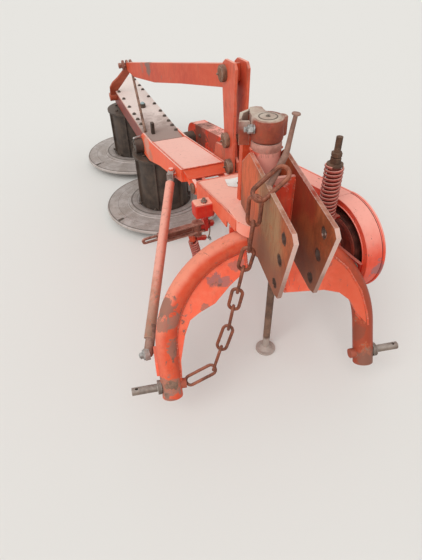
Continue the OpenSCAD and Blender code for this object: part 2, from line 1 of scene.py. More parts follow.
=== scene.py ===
"""Two-drum mower parked on its discs and jack: finishes, welds, hardware, floor, light and camera."""
import math
import random

import bpy
from mathutils import Matrix, Vector


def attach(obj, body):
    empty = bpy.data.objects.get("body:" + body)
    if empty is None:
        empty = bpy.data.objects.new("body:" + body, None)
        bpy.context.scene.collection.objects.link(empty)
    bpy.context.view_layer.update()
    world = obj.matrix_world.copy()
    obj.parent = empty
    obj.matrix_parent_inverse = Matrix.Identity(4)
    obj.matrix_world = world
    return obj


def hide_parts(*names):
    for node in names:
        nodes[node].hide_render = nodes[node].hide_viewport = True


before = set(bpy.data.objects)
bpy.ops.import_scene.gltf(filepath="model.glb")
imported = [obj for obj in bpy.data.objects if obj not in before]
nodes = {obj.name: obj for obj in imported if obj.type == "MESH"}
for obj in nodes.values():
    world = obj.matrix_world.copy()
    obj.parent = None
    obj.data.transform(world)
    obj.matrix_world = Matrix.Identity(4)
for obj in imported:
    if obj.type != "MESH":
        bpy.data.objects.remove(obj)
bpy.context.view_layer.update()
rng = random.Random(7)

# Driving sizes of the source, in millimetres and degrees. u runs along the bar, away from the tractor
KING_Y = 220
BAR_TURN = 9.2
BAR_HALF = 92
PIN_Z = 217
ARCH_LEAN = 64.8
DRUM_U = 1339
DRUM_PITCH = 815
GEAR_Z = 455
PULLEY_X = 378
PULLEY_U = 45
PULLEY_Z = 500
SMALL_PULLEY_X = 252
HOUSING_R = 190
GUARD_END_R = 84
PLATE_X = 45
# Holes of the top-link plates as (y, z)
PLATE_HOLES = ((-128, 888), (-116, 814), (-96, 722))
SIDES = (-1, 1)
UP = (0, 0, 1)


def turn(angle, axis):
    return Matrix.Rotation(math.radians(angle), 4, axis)


def move(x, y, z):
    return Matrix.Translation((x, y, z))


# Frames of the source: hitch, bar, belt drive and bent pipe
BELT_TURN = math.degrees(math.atan2(PULLEY_X - SMALL_PULLEY_X, DRUM_U - PULLEY_U))
HITCH = move(0.105942, -1.263146, 0) @ Matrix.Scale(0.001, 4)
BAR = HITCH @ move(0, KING_Y, 0) @ turn(BAR_TURN, "Z")
DRIVE = BAR @ move(PULLEY_X, PULLEY_U, 0) @ turn(BELT_TURN, "Z")
ARCH = HITCH @ move(0, 0, PIN_Z) @ turn(ARCH_LEAN, "X")


def rgb(r, g, b):
    """A colour written as it looks on screen, 0 to 255."""
    def lin(c):
        c /= 255
        return c / 12.92 if c <= 0.04045 else ((c + 0.055) / 1.055) ** 2.4
    return (lin(r), lin(g), lin(b), 1)


class Finish:
    """A node-based material with helpers for its patterns. Lengths are in metres, in the part's frame."""

    def __init__(self, name, colour):
        self.mat = bpy.data.materials.new(name)
        self.mat.use_nodes = True
        self.tree = self.mat.node_tree
        self.tree.nodes.clear()
        coords = self.add("ShaderNodeTexCoord")
        self.place = coords.outputs["Object"]
        facing = self.add("ShaderNodeSeparateXYZ", {0: coords.outputs["Normal"]})
        self.side, self.back, self.up = facing.outputs[0], facing.outputs[1], facing.outputs[2]
        self.colour = colour

    def add(self, kind, inputs=None, **settings):
        """A new node with its settings; inputs are values or sockets, by number or name."""
        node = self.tree.nodes.new(kind)
        for key, value in settings.items():
            setattr(node, key, value)
        for key, value in (inputs or {}).items():
            if isinstance(value, bpy.types.NodeSocket):
                self.tree.links.new(value, node.inputs[key])
            else:
                node.inputs[key].default_value = value
        return node

    def math(self, op, a, b=0.0, clamp=False):
        return self.add("ShaderNodeMath", {0: a, 1: b}, operation=op, use_clamp=clamp).outputs[0]

    def times(self, a, b, clamp=False):
        return self.math("MULTIPLY", a, b, clamp)

    def plus(self, a, b):
        return self.math("ADD", a, b)

    def minus(self, a, b):
        return self.math("SUBTRACT", a, b)

    def vector(self, op, a, b):
        node = self.add("ShaderNodeVectorMath", {0: a, 1: b}, operation=op)
        return node.outputs[1] if op in ("DISTANCE", "DOT_PRODUCT") else node.outputs[0]

    def step(self, value, low, high):
        """0 below low, 1 above high and smooth between; falling where low is the greater."""
        inputs = {0: value, 1: low, 2: high, 3: 0.0, 4: 1.0}
        return self.add("ShaderNodeMapRange", inputs, interpolation_type="SMOOTHSTEP").outputs[0]

    def noise(self, scale, detail, rough=0.55, stretch=None, warp=0.0):
        vec = self.place if stretch is None else self.vector("MULTIPLY", self.place, stretch)
        inputs = {"Vector": vec, "Scale": scale, "Detail": detail, "Roughness": rough, "Distortion": warp}
        return self.add("ShaderNodeTexNoise", inputs).outputs[0]

    def mix(self, factor, a, b):
        """From colour a to colour b; each is a socket, or red, green and blue as they look on screen."""
        a, b = (c if isinstance(c, bpy.types.NodeSocket) else rgb(*c) for c in (a, b))
        return self.add("ShaderNodeMix", {0: factor, 6: a, 7: b}, data_type="RGBA").outputs[2]

    def over(self, colour, mask, amount, tint):
        """The colour with a tint laid over it, by the mask times the amount."""
        return self.mix(mask if amount == 1 else self.times(mask, amount), colour, tint)

    def lay(self, mask, amount, tint):
        """Lays a tint over the finish."""
        self.colour = self.over(self.colour, mask, amount, tint)

    def edges(self, radius):
        """1 where the surface turns sharply within the radius, 0 on flat areas."""
        bevel, geo = self.add("ShaderNodeBevel", {0: radius}, samples=6), self.add("ShaderNodeNewGeometry")
        same = self.vector("DOT_PRODUCT", bevel.outputs[0], geo.outputs["True Normal"])
        return self.minus(1.0, same)

    def distance(self, point):
        """How far the surface is from a point of the hitch frame."""
        return self.vector("DISTANCE", self.place, HITCH @ Vector(point))

    def spots(self, places):
        """Soft spheres given in hitch-frame millimetres with a radius: 1 in their middle."""
        total = 0.0
        for x, y, z, r in places:
            total = self.math("MAXIMUM", total, self.step(self.distance((x, y, z)), r / 1000, 0.0))
        return total

    def patch(self, where, ragged):
        """Mask of a torn patch (x, y, z, r)."""
        level = self.step(self.distance(where[:3]), where[3] / 800, 0.0)
        return self.step(self.plus(level, self.times(ragged, 3.0)), 0.36, 0.52)

    def cloud(self, where, ragged):
        """Mask of a soft patch (x, y, z, outer radius, inner radius)."""
        far = self.plus(self.distance(where[:3]), self.times(ragged, 0.03))
        return self.step(far, where[3] / 1000, where[4] / 1000)

    def run(self, where, ragged):
        """Mask that grows from a first point to a second."""
        a, b = (HITCH @ Vector(point) for point in where)
        ahead = (b - a) / (b - a).length_squared
        along = self.vector("DOT_PRODUCT", self.vector("SUBTRACT", self.place, a), ahead)
        return self.step(self.plus(along, self.times(ragged, 1.1)), 0.0, 1.0)

    def stain(self, rows):
        """Rows of (where, tint, amount). Where is a run's points, a torn patch or a cloud, in millimetres."""
        masks = {2: self.run, 4: self.patch, 5: self.cloud}
        if rows:
            ragged = self.minus(self.noise(19, 8, 0.72, warp=1.2), 0.5)
        for where, tint, amount in rows:
            self.lay(masks[len(where)](where, ragged), amount, tint)

    def done(self, rough, bump, metal, size, strength, gloss=0.4):
        """Ends the finish. Size is the bump's height in metres."""
        relief = self.add("ShaderNodeBump", {"Strength": strength, "Distance": size, "Height": bump})
        shader = self.add("ShaderNodeBsdfPrincipled", {
            "Base Color": self.colour, "Roughness": rough, "Metallic": metal, "Specular IOR Level": gloss,
            "Normal": relief.outputs[0]})
        self.add("ShaderNodeOutputMaterial", {0: shader.outputs[0]})
        return self.mat


def paint(name, base=(212, 74, 40), deep=(176, 40, 18), warm=(226, 104, 66), faded_and_lit=(244, 172, 152),
          bare=(128, 98, 84), fade_and_light=0.85, fade_and_light_from=0.45, left_light=0.0, wear=0.5, edge=0.7, grime=0.35,
          places=(), stains=()):
    """Old red paint: sun-bleached with painted light where it faces up, painted light on sides that face
    left; chipped to grey-brown with a painted highlight on upper chipped edges, dirty in streaks.
    """
    f = Finish(name, base)
    patch = f.noise(11, 7, 0.62, warp=0.3)
    chip, grain = f.noise(62, 6, 0.65), f.noise(420, 2)
    f.lay(f.step(f.noise(2.6, 3), 0.35, 0.68), 0.7, deep)
    f.lay(f.step(f.noise(30, 6, 0.7), 0.40, 0.66), 0.42, warm)
    # Painted light: surfaces facing up, and sides facing left, take the pale colour; on the tops it is partly
    # real sun bleaching.
    fade_and_light_level = f.plus(f.up, f.times(f.minus(patch, 0.5), 0.5))
    if left_light:
        fade_and_light_level = f.plus(fade_and_light_level, f.times(f.side, -left_light))
    fade_and_light_mask = f.times(f.step(fade_and_light_level, fade_and_light_from, 0.98), fade_and_light)
    f.lay(fade_and_light_mask, 1, faded_and_lit)
    streak = f.step(f.noise(1.0, 5, 0.6, stretch=(70, 70, 9)), 0.52, 0.72)
    f.lay(streak, grime, [c * 0.72 for c in bare])
    f.stain(stains)
    level = f.plus(f.times(patch, 0.62), f.times(chip, 0.38))
    if places:
        level = f.plus(level, f.times(f.spots(places), 0.17))
    cut = 0.72 - 0.14 * wear
    worn, halo = f.step(level, cut, cut + 0.03), f.step(level, cut - 0.05, cut)
    bald = f.mix(f.step(chip, 0.40, 0.62), [c * 0.80 for c in bare], bare)
    bald = f.over(bald, f.step(f.noise(24, 5), 0.5, 0.7), 0.6, (134, 72, 44))
    f.lay(halo, 0.35, (206, 104, 66))
    f.lay(worn, 1, bald)
    # Chipped edges with a painted highlight: upper edges take a pale colour, lower ones brown.
    edge_wear_and_highlight = f.times(f.edges(0.005), f.times(f.step(chip, 0.38, 0.62), 9 * edge), clamp=True)
    f.lay(edge_wear_and_highlight, 0.75, f.mix(f.up, (150, 98, 78), (222, 182, 168)))
    f.lay(f.step(f.noise(150, 3, 0.7), 0.70, 0.76), 0.45, (92, 44, 30))
    rough = f.plus(0.48, f.times(f.math("MAXIMUM", worn, fade_and_light_mask), 0.22))
    height = f.minus(f.times(grain, 0.16), f.times(worn, 0.55))
    return f.done(rough, f.plus(height, f.times(chip, 0.25)), 0.0, 0.0009, 0.7, gloss=0.28)


def rust(name, dark, mid, bright, worn, rub_and_light=0.35, metal=0.0, paint_left=None, left=0.0, stains=(),
         front=None, hole_shade_and_marks=(), edge_wear_and_highlight=1.0, runs=0.0):
    """Bare iron: brown scale with orange blooms, paler on its edges and top, partly rubbed and partly painted
    light; front faces can take a pale painted light too.
    """
    f = Finish(name, dark)
    patch, scale = f.noise(16, 7, 0.65, warp=0.4), f.noise(85, 6, 0.7)
    pits = f.noise(300, 3, 0.6)
    f.lay(f.step(patch, 0.36, 0.66), 1, mid)
    f.lay(f.step(scale, 0.5, 0.72), 0.55, bright)
    if paint_left:
        level = f.plus(f.times(f.noise(9, 6, 0.6), 0.7), f.times(scale, 0.3))
        f.lay(f.step(level, 0.74 - left * 0.3, 0.78 - left * 0.3), 0.9, paint_left)
    f.stain(stains)
    if runs:
        streak = f.step(f.noise(1.0, 6, 0.65, stretch=(120, 120, 14)), 0.46, 0.66)
        f.lay(streak, runs, dark)
        f.lay(f.step(f.noise(38, 7, 0.75), 0.52, 0.68), runs * 0.7, bright)
    # Painted light: faces turned to the front take the pale front colour, partly rubbed cut edges.
    if front:
        f.lay(f.step(f.back, -0.4, -0.85), 0.85, front)
    # Partly rubbed, partly painted light: tops and edges take the pale worn colour.
    top = f.times(f.step(f.up, 0.25, 0.95), f.step(patch, 0.3, 0.7))
    f.lay(top, rub_and_light, worn)
    if edge_wear_and_highlight:
        edge = f.times(f.edges(0.004), f.times(f.step(scale, 0.35, 0.6), 8.0), clamp=True)
        f.lay(edge, min(1, rub_and_light * 1.6 * edge_wear_and_highlight), worn)
    # Marks laid last: painted shade in holes, and stains.
    f.stain(hole_shade_and_marks)
    f.lay(f.step(pits, 0.62, 0.72), 0.5, [c * 0.55 for c in dark])
    height = f.plus(f.times(scale, 0.6), f.times(pits, 0.35))
    return f.done(f.plus(0.56, f.times(patch, 0.3)), height, metal, 0.0011, 0.7)


# Painted shade as dark rings in a disc's pressed creases and steps: radius and half width in metres, strength
CREASE_SHADE = [(0.158, 0.009, 0.8), (0.178, 0.004, 0.4), (0.212, 0.007, 0.75), (0.232, 0.004, 0.45),
           (0.300, 0.004, 0.25), (0.361, 0.006, 0.6)]
DISH_R = 0.212


def spun_steel(name, drum_u):
    """Grey worn disc: rings round its axis, streaks of dried grass and rust; painted shade in its creases and
    next to the drum.
    """
    f = Finish(name, (142, 131, 124))
    axis = BAR @ Vector((0, drum_u, 0))
    flat = f.vector("MULTIPLY", f.vector("SUBTRACT", f.place, (axis.x, axis.y, 0)), (1, 1, 0))
    radius = f.vector("DISTANCE", flat, (0, 0, 0))
    rings = {"W": f.times(radius, 95.0), "Detail": 5.0}
    ring = f.add("ShaderNodeTexNoise", rings, noise_dimensions="1D").outputs[0]
    blotch, fine = f.noise(13, 7, 0.65, warp=0.8), f.noise(120, 5, 0.7)
    f.lay(f.step(ring, 0.35, 0.68), 1, (188, 177, 170))
    f.lay(f.step(blotch, 0.42, 0.66), 0.45, (214, 206, 203))
    f.lay(f.step(f.noise(4, 3), 0.45, 0.7), 0.35, (158, 142, 130))
    f.lay(f.step(f.noise(22, 6, 0.7), 0.58, 0.72), 0.40, (132, 108, 92))
    f.lay(f.step(fine, 0.62, 0.74), 0.30, (96, 88, 82))
    # Painted shade in the creases and steps.
    for where, wide, amount in CREASE_SHADE:
        off = f.math("ABSOLUTE", f.minus(radius, where))
        f.lay(f.step(off, wide, wide * 0.3), amount, (74, 64, 58))
    # Painted shade: the dish darker inside DISH_R, next to the drum.
    f.lay(f.step(radius, DISH_R, DISH_R - 0.017), 0.25, (120, 108, 100))
    f.lay(f.times(f.edges(0.005), 6.0, clamp=True), 0.5, (214, 208, 204))
    height = f.plus(f.times(ring, 0.5), f.times(fine, 0.4))
    return f.done(f.plus(0.42, f.times(blotch, 0.35)), height, 0.25, 0.0009, 0.6)


def sooty(name, dark, mid, dust):
    """Dark greasy iron with dried dust, run down in streaks."""
    f = Finish(name, dark)
    patch, fine = f.noise(14, 6, 0.6), f.noise(130, 5, 0.7)
    runs = f.noise(1.0, 4, 0.55, stretch=(34, 34, 6))
    f.lay(f.step(patch, 0.35, 0.65), 1, mid)
    f.lay(f.step(runs, 0.50, 0.72), 0.12, dust)
    f.lay(f.step(f.up, 0.4, 0.95), 0.45, dust)
    f.lay(f.step(fine, 0.6, 0.74), 0.5, (104, 66, 46))
    f.lay(f.times(f.edges(0.004), 6.0, clamp=True), 0.45, (126, 112, 102))
    height = f.plus(f.times(fine, 0.5), f.times(runs, 0.15))
    return f.done(f.plus(0.40, f.times(patch, 0.25)), height, 0.1, 0.0008, 0.5)


def bright(name, base=(186, 184, 182), dull=(128, 120, 112)):
    """Plated or rubbed metal of nuts, washers and threads."""
    f = Finish(name, base)
    patch, fine = f.noise(70, 5, 0.65), f.noise(380, 3)
    f.lay(f.step(patch, 0.42, 0.68), 1, dull)
    f.lay(f.step(fine, 0.6, 0.75), 0.4, (110, 84, 66))
    return f.done(f.plus(0.30, f.times(patch, 0.3)), fine, 0.75, 0.0004, 0.4)


def plastic(name, base=(238, 236, 230), shade=(206, 200, 190)):
    """Dull plastic, a little dirty."""
    f = Finish(name, base)
    f.lay(f.step(f.noise(40, 5, 0.6), 0.45, 0.7), 0.6, shade)
    return f.done(0.5, f.noise(500, 2), 0.0, 0.0003, 0.3)


def rubber(name):
    """Belt rubber under rusty dust."""
    f = Finish(name, (70, 34, 26))
    patch, fine = f.noise(30, 5, 0.6), f.noise(300, 3)
    f.lay(f.step(patch, 0.4, 0.7), 1, (108, 58, 44))
    return f.done(f.plus(0.6, f.times(patch, 0.25)), fine, 0.0, 0.0005, 0.5)


# Finishes of the machine. Stains and places are where the photograph shows wear; a few stains are painted
# light or shade instead, as noted.
FINISHES = {
    "arch": paint(
        "arch_paint", base=(214, 80, 48), deep=(194, 58, 32), warm=(222, 104, 70), faded_and_lit=(232, 150, 124),
        bare=(140, 108, 90), wear=0.3, fade_and_light=0.75, left_light=0.45, fade_and_light_from=0.42, grime=0.2,
        places=[(-369, -24, 251, 70), (-331, 55, 388, 62), (-330, 70, 330, 60), (-350, 10, 300, 50),
            (369, -20, 260, 90), (340, 30, 350, 80), (-120, 190, 640, 60), (330, 60, 330, 60)],
        stains=[((-362, 104, 500, 62), (126, 96, 82), 0.8), ((-366, 82, 450, 44), (132, 104, 90), 0.7),
            ((-323, 76, 452, 38), (140, 108, 94), 0.7), ((-336, 43, 366, 40), (134, 108, 94), 0.75),
            ((-374, -30, 238, 62), (136, 114, 102), 0.8), ((-378, -60, 190, 46), (118, 98, 86), 0.7),
            (((150, 120, 420), (350, 50, 420)), (146, 60, 36), 0.88),
            ((372, -40, 215, 70), (118, 90, 76), 0.7), ((328, 30, 300, 46), (118, 70, 52), 0.5)]),
    "web": paint(
        "web_paint", base=(244, 106, 76), deep=(232, 84, 54), warm=(244, 132, 102), faded_and_lit=(242, 140, 116),
        wear=0.25, fade_and_light=0.5, bare=(134, 98, 90), grime=0.12,
        places=[(-173, 141, 531, 60), (-294, 75, 390, 50), (-304, 97, 436, 40)],
        stains=[((-171, 147, 544, 38), (140, 104, 104), 0.75), ((-140, 143, 537, 34), (146, 108, 106), 0.7),
            ((-212, 107, 459, 26), (150, 108, 96), 0.7), ((-90, 165, 585, 36), (150, 106, 98), 0.6),
            (((150, 120, 500), (290, 95, 500)), (196, 78, 46), 0.6)]),
    "frame": paint("frame_paint", base=(206, 78, 42), deep=(178, 52, 24), wear=0.35),
    "tower": paint(
        "tower_paint", base=(236, 80, 54), deep=(204, 48, 28), warm=(236, 116, 82), faded_and_lit=(222, 166, 150),
        wear=0.4, bare=(158, 112, 98),
        # Pale patches on the tower's front: partly worn paint, partly painted light where the head shades it.
        stains=[((0, 172, 936, 56, 34), (232, 168, 152), 0.85), ((0, 84, 948, 66), (226, 160, 144), 0.85),
            ((-40, 90, 935, 34), (230, 168, 152), 0.8)]),
    "arm": paint(
        "arm_paint", base=(240, 108, 76), deep=(228, 84, 54), warm=(240, 134, 106), faded_and_lit=(246, 182, 163),
        wear=0.2, fade_and_light=1.0, left_light=0.7, fade_and_light_from=0.2, grime=0.15),
    "yoke": paint(
        "yoke_paint", base=(238, 96, 58), deep=(226, 76, 42), warm=(240, 116, 80), faded_and_lit=(246, 192, 177),
        wear=0.12, fade_and_light=1.0, grime=0.12,
        stains=[((-300, 1400, 500, 90), (206, 160, 142), 0.7),
            ((-280, 1330, 470, 60), (176, 120, 100), 0.6)]),
    "mast": paint(
        "mast_paint", base=(210, 92, 64), deep=(188, 64, 38), warm=(214, 116, 90), bare=(134, 82, 64),
        wear=0.55, grime=0.5, edge=1.0,
        stains=[((10, 790, 700, 60), (142, 86, 66), 0.7), ((0, 800, 900, 50), (138, 84, 66), 0.7),
            (((20, 800, 800), (20, 830, 640)), (168, 84, 60), 0.6)]),
    "bar": paint(
        "bar_paint", base=(200, 76, 44), deep=(180, 54, 28), warm=(210, 98, 64), faded_and_lit=(238, 170, 150),
        wear=0.25, grime=0.25, edge=0.9,
        stains=[((-226, 1715, 828, 66), (120, 92, 82), 0.92), ((-255, 1830, 800, 40), (150, 100, 84), 0.6)]),
    "brace": paint(
        "brace_paint", base=(170, 78, 50), deep=(138, 52, 32), warm=(178, 98, 70), faded_and_lit=(206, 150, 130),
        bare=(112, 78, 62), grime=0.4),
    "beam": paint(
        "beam_paint", base=(138, 42, 26), deep=(88, 26, 16), warm=(150, 62, 40), wear=0.4, bare=(66, 46, 36),
        grime=0.6),
    "cover": paint(
        "cover_paint", base=(206, 150, 134), deep=(188, 126, 108), warm=(214, 166, 150),
        faded_and_lit=(232, 216, 207), bare=(160, 122, 106), fade_and_light=1.0, fade_and_light_from=0.1, wear=0.24, grime=0.15, edge=0.9,
        stains=[(((-270, 1880, 560), (-203, 1470, 560)), (132, 106, 96), 0.8)]),
    "guard": paint(
        "guard_paint", base=(226, 78, 52), deep=(208, 54, 32), warm=(234, 108, 84), faded_and_lit=(248, 172, 156),
        wear=0.18, fade_and_light=1.0, fade_and_light_from=0.08, bare=(134, 92, 88), grime=0.12,
        stains=[((432, 148, 490, 46), (150, 104, 104), 0.8), ((20, 1476, 540, 130), (140, 104, 92), 0.7),
            ((63, 1314, 530, 110), (150, 98, 82), 0.65), ((10, 1480, 480, 120), (104, 66, 54), 0.7)]),
    "skirt": paint(
        "skirt_paint", base=(236, 106, 72), deep=(222, 84, 52), warm=(238, 132, 102), faded_and_lit=(244, 170, 148),
        wear=0.2, fade_and_light=0.6, grime=0.15),
    "apron": paint(
        "apron_paint", base=(222, 86, 50), deep=(206, 64, 34), warm=(226, 104, 68), faded_and_lit=(222, 96, 60),
        wear=0.15, fade_and_light=0.3, grime=0.15),
    "side": paint(
        "side_paint", base=(206, 40, 18), deep=(182, 24, 8), warm=(208, 72, 46), faded_and_lit=(240, 172, 150),
        wear=0.35, fade_and_light=1.0, fade_and_light_from=0.3, edge=0.9, grime=0.3),
    "shaded": paint(
        "shaded_paint", base=(176, 24, 10), deep=(134, 14, 6), warm=(190, 50, 28), faded_and_lit=(222, 130, 112),
        wear=0.2, grime=0.2),
    "spring": paint(
        "spring_paint", base=(160, 44, 30), deep=(118, 28, 18), warm=(176, 74, 58), faded_and_lit=(214, 146, 132),
        wear=0.3, bare=(110, 72, 58), fade_and_light=0.95, fade_and_light_from=0.35, grime=0.2),
    "strut": paint(
        "strut_paint", base=(212, 114, 92), deep=(194, 94, 72), warm=(222, 140, 118), faded_and_lit=(238, 182, 164),
        wear=0.4, fade_and_light=0.6, left_light=0.4, fade_and_light_from=0.3, bare=(156, 130, 114),
        places=[(-400, 200, 285, 190), (-430, 150, 262, 150), (-360, 330, 345, 120)],
        stains=[(((-330, 500, 440), (-420, 160, 270)), (134, 114, 94), 0.85)]),
    "bead": paint("weld_paint", base=(206, 74, 42), faded_and_lit=(232, 140, 118), wear=0.4, bare=(116, 84, 70)),
    "plate": rust(
        "plate_rust", dark=(134, 66, 34), mid=(176, 94, 54), bright=(190, 80, 38), worn=(214, 184, 172),
        # front: faces turned to the front take a pale colour, partly rubbed cut edges, partly painted light.
        paint_left=(190, 72, 40), left=0.1, rub_and_light=0.45, front=(218, 186, 174), runs=0.6,
        stains=[((-57, 170, 880, 130, 60), (214, 100, 60), 0.9),
            ((-57, 150, 790, 110, 50), (206, 94, 56), 0.85), ((-57, 0, 905, 120, 70), (166, 126, 92), 0.75),
            ((-57, -40, 830, 110, 60), (162, 124, 88), 0.75), ((-57, 10, 735, 80, 40), (142, 98, 70), 0.7),
            # Right plate: the red at its top deepened by painted shadow of the left plate, and a near-black
            # painted shadow low down; the orange-brown between is rust.
            ((50, 30, 900, 120, 70), (150, 44, 24), 0.85), ((50, -20, 815, 80, 40), (176, 96, 54), 0.7),
            ((50, 0, 715, 80, 40), (112, 34, 16), 0.85)],
        # The front edge darker towards the bottom; the dark clouds round each plate hole are painted shade.
        hole_shade_and_marks=[(((0, -150, 860), (0, -150, 735)), (128, 84, 66), 0.7)]
        + [((side * 51, y, z, 19, 15), (58, 36, 26), 0.92) for side in SIDES for y, z in PLATE_HOLES]),
    "block": rust(
        "block_rust", dark=(128, 52, 34), mid=(150, 72, 48), bright=(182, 62, 38), worn=(200, 188, 170),
        paint_left=(160, 46, 28), left=0.25, rub_and_light=0.95, edge_wear_and_highlight=0.35,
        stains=[((0, 220, 1054, 40, 34), (190, 176, 160), 0.75),
            ((-40, 260, 1052, 60, 40), (196, 180, 166), 0.6)]),
    # Painted shade: a dark red for the shade inside recesses and creases.
    "recess_shade": rust(
        "recess_shade_rust", dark=(70, 14, 4), mid=(128, 26, 10), bright=(176, 52, 34), worn=(160, 60, 44), edge_wear_and_highlight=0),
    "collar": rust(
        "collar_rust", dark=(150, 96, 82), mid=(196, 138, 122), bright=(206, 120, 98), worn=(214, 176, 162),
        rub_and_light=0.6),
    "chain": rust(
        "chain_rust", dark=(84, 40, 24), mid=(138, 66, 38), bright=(168, 78, 40), worn=(186, 132, 110),
        rub_and_light=0.45),
    "pulley": rust(
        "pulley_rust", dark=(86, 30, 20), mid=(136, 48, 30), bright=(160, 62, 38), worn=(186, 120, 104),
        rub_and_light=0.4),
    "iron": rust(
        "iron_rust", dark=(84, 56, 40), mid=(134, 96, 74), bright=(164, 96, 60), worn=(184, 162, 148)),
    "foot": rust(
        "foot_rust", dark=(84, 60, 48), mid=(128, 98, 80), bright=(146, 98, 72), worn=(196, 184, 176),
        stains=[((77, 264, 10, 80, 60), (176, 160, 150), 0.8)]),
    "lever": rust(
        "lever_rust", dark=(110, 62, 48), mid=(150, 96, 78), bright=(170, 88, 62), worn=(206, 160, 144),
        paint_left=(184, 62, 42), left=0.3, rub_and_light=0.5),
    "pin": rust(
        "pin_steel", dark=(96, 82, 74), mid=(140, 124, 112), bright=(128, 96, 78), worn=(186, 176, 168),
        rub_and_light=0.6, metal=0.3,
        hole_shade_and_marks=[((side * 315, 0, PIN_Z, 60, 40), (172, 80, 54), 0.85) for side in SIDES]),
    "rubbed": rust(
        "rubbed_steel", dark=(120, 106, 98), mid=(164, 150, 142), bright=(146, 112, 92),
        worn=(204, 196, 190), rub_and_light=0.6, metal=0.4),
    "rod": rust(
        "rod_rust", dark=(66, 44, 32), mid=(104, 74, 54), bright=(122, 78, 52), worn=(146, 120, 102),
        edge_wear_and_highlight=0.5),
    "strut_end": rust(
        "strut_end_rust", dark=(110, 76, 62), mid=(146, 108, 92), bright=(158, 96, 72),
        worn=(192, 164, 150)),
    "disc_near": spun_steel("near_disc_steel", DRUM_U),
    "disc_far": spun_steel("far_disc_steel", DRUM_U + DRUM_PITCH),
    "soot": sooty("drum_iron", dark=(52, 42, 36), mid=(80, 66, 56), dust=(112, 98, 86)),
    "skid": sooty("skid_iron", dark=(58, 50, 45), mid=(92, 82, 74), dust=(128, 116, 104)),
    # Painted shadow: near-black for gaps.
    "shadow_black": sooty("gap_shadow_black", dark=(24, 18, 15), mid=(38, 30, 26), dust=(52, 42, 36)),
    "bright": bright("bright_metal"),
    "dull": bright("dull_metal", base=(150, 140, 130), dull=(100, 84, 72)),
    "white": plastic("white_tag"),
    "teal": plastic("plug_cap", base=(150, 176, 178), shade=(206, 214, 214)),
    "belt": rubber("belt_rubber_worn"),
}
# The record's slot of each finish; the painted ones and the plastics are red_paint
SLOT = {key: "worn_steel" for key in (
    "plate", "block", "chain", "iron", "lever", "pin", "rubbed", "recess_shade", "collar", "foot", "pulley",
    "strut_end", "rod")}
SLOT |= {key: "bright_steel" for key in ("disc_near", "disc_far", "bright", "dull")}
SLOT |= {key: "dark_steel" for key in ("soot", "shadow_black", "skid")}
SLOT["belt"] = "belt_rubber"


# The frame's own nodes: rounded edges, smooth shading and their finish
def node_group(name, middle):
    """A geometry group: middle(group, smooth) sets it up and gives the socket that takes the mesh."""
    group = bpy.data.node_groups.new(name, "GeometryNodeTree")
    for way in ("INPUT", "OUTPUT"):
        group.interface.new_socket("Geometry", in_out=way, socket_type="NodeSocketGeometry")
    start, end = group.nodes.new("NodeGroupInput"), group.nodes.new("NodeGroupOutput")
    smooth = group.nodes.new("GeometryNodeSetShadeSmooth")
    group.links.new(start.outputs[0], middle(group, smooth))
    group.links.new(smooth.outputs[0], end.inputs[0])
    return group


def join_vertices(group, smooth):
    """Joins split vertices and drops the stored normals."""
    merge = group.nodes.new("GeometryNodeMergeByDistance")
    merge.inputs["Distance"].default_value = 2e-5
    drop = group.nodes.new("GeometryNodeRemoveAttribute")
    drop.inputs["Name"].default_value = "custom_normal"
    group.links.new(merge.outputs[0], drop.inputs[0])
    group.links.new(drop.outputs[0], smooth.inputs[0])
    return merge.inputs[0]


def keep_corners(group, smooth):
    """Keeps real corners sharp."""
    smooth.domain = "EDGE"
    angle = group.nodes.new("GeometryNodeInputMeshEdgeAngle")
    test = group.nodes.new("FunctionNodeCompare")
    test.operation = "LESS_THAN"
    test.inputs[1].default_value = math.radians(42)
    group.links.new(angle.outputs[0], test.inputs[0])
    group.links.new(test.outputs[0], smooth.inputs["Shade Smooth"])
    return smooth.inputs[0]


JOIN, SHARPEN = node_group("join_mesh", join_vertices), node_group("sharpen_mesh", keep_corners)


def dress(name, finish, bevel):
    """Gives a node its finish and, where bevel isn't 0, edges rounded by that many millimetres."""
    obj = nodes[name]
    for slot in obj.material_slots:
        slot.material = FINISHES[finish]
    obj.modifiers.new("join", "NODES").node_group = JOIN
    if bevel:
        plane = obj.modifiers.new("plane", "DECIMATE")
        plane.decimate_type = "DISSOLVE"
        plane.angle_limit = math.radians(0.8)
        edge = obj.modifiers.new("round", "BEVEL")
        edge.width = bevel / 1000
        edge.segments = 2
        edge.limit_method = "ANGLE"
        edge.angle_limit = math.radians(32)
    obj.modifiers.new("sharpen", "NODES").node_group = SHARPEN
    weigh = obj.modifiers.new("weigh", "WEIGHTED_NORMAL")
    weigh.keep_sharp = True


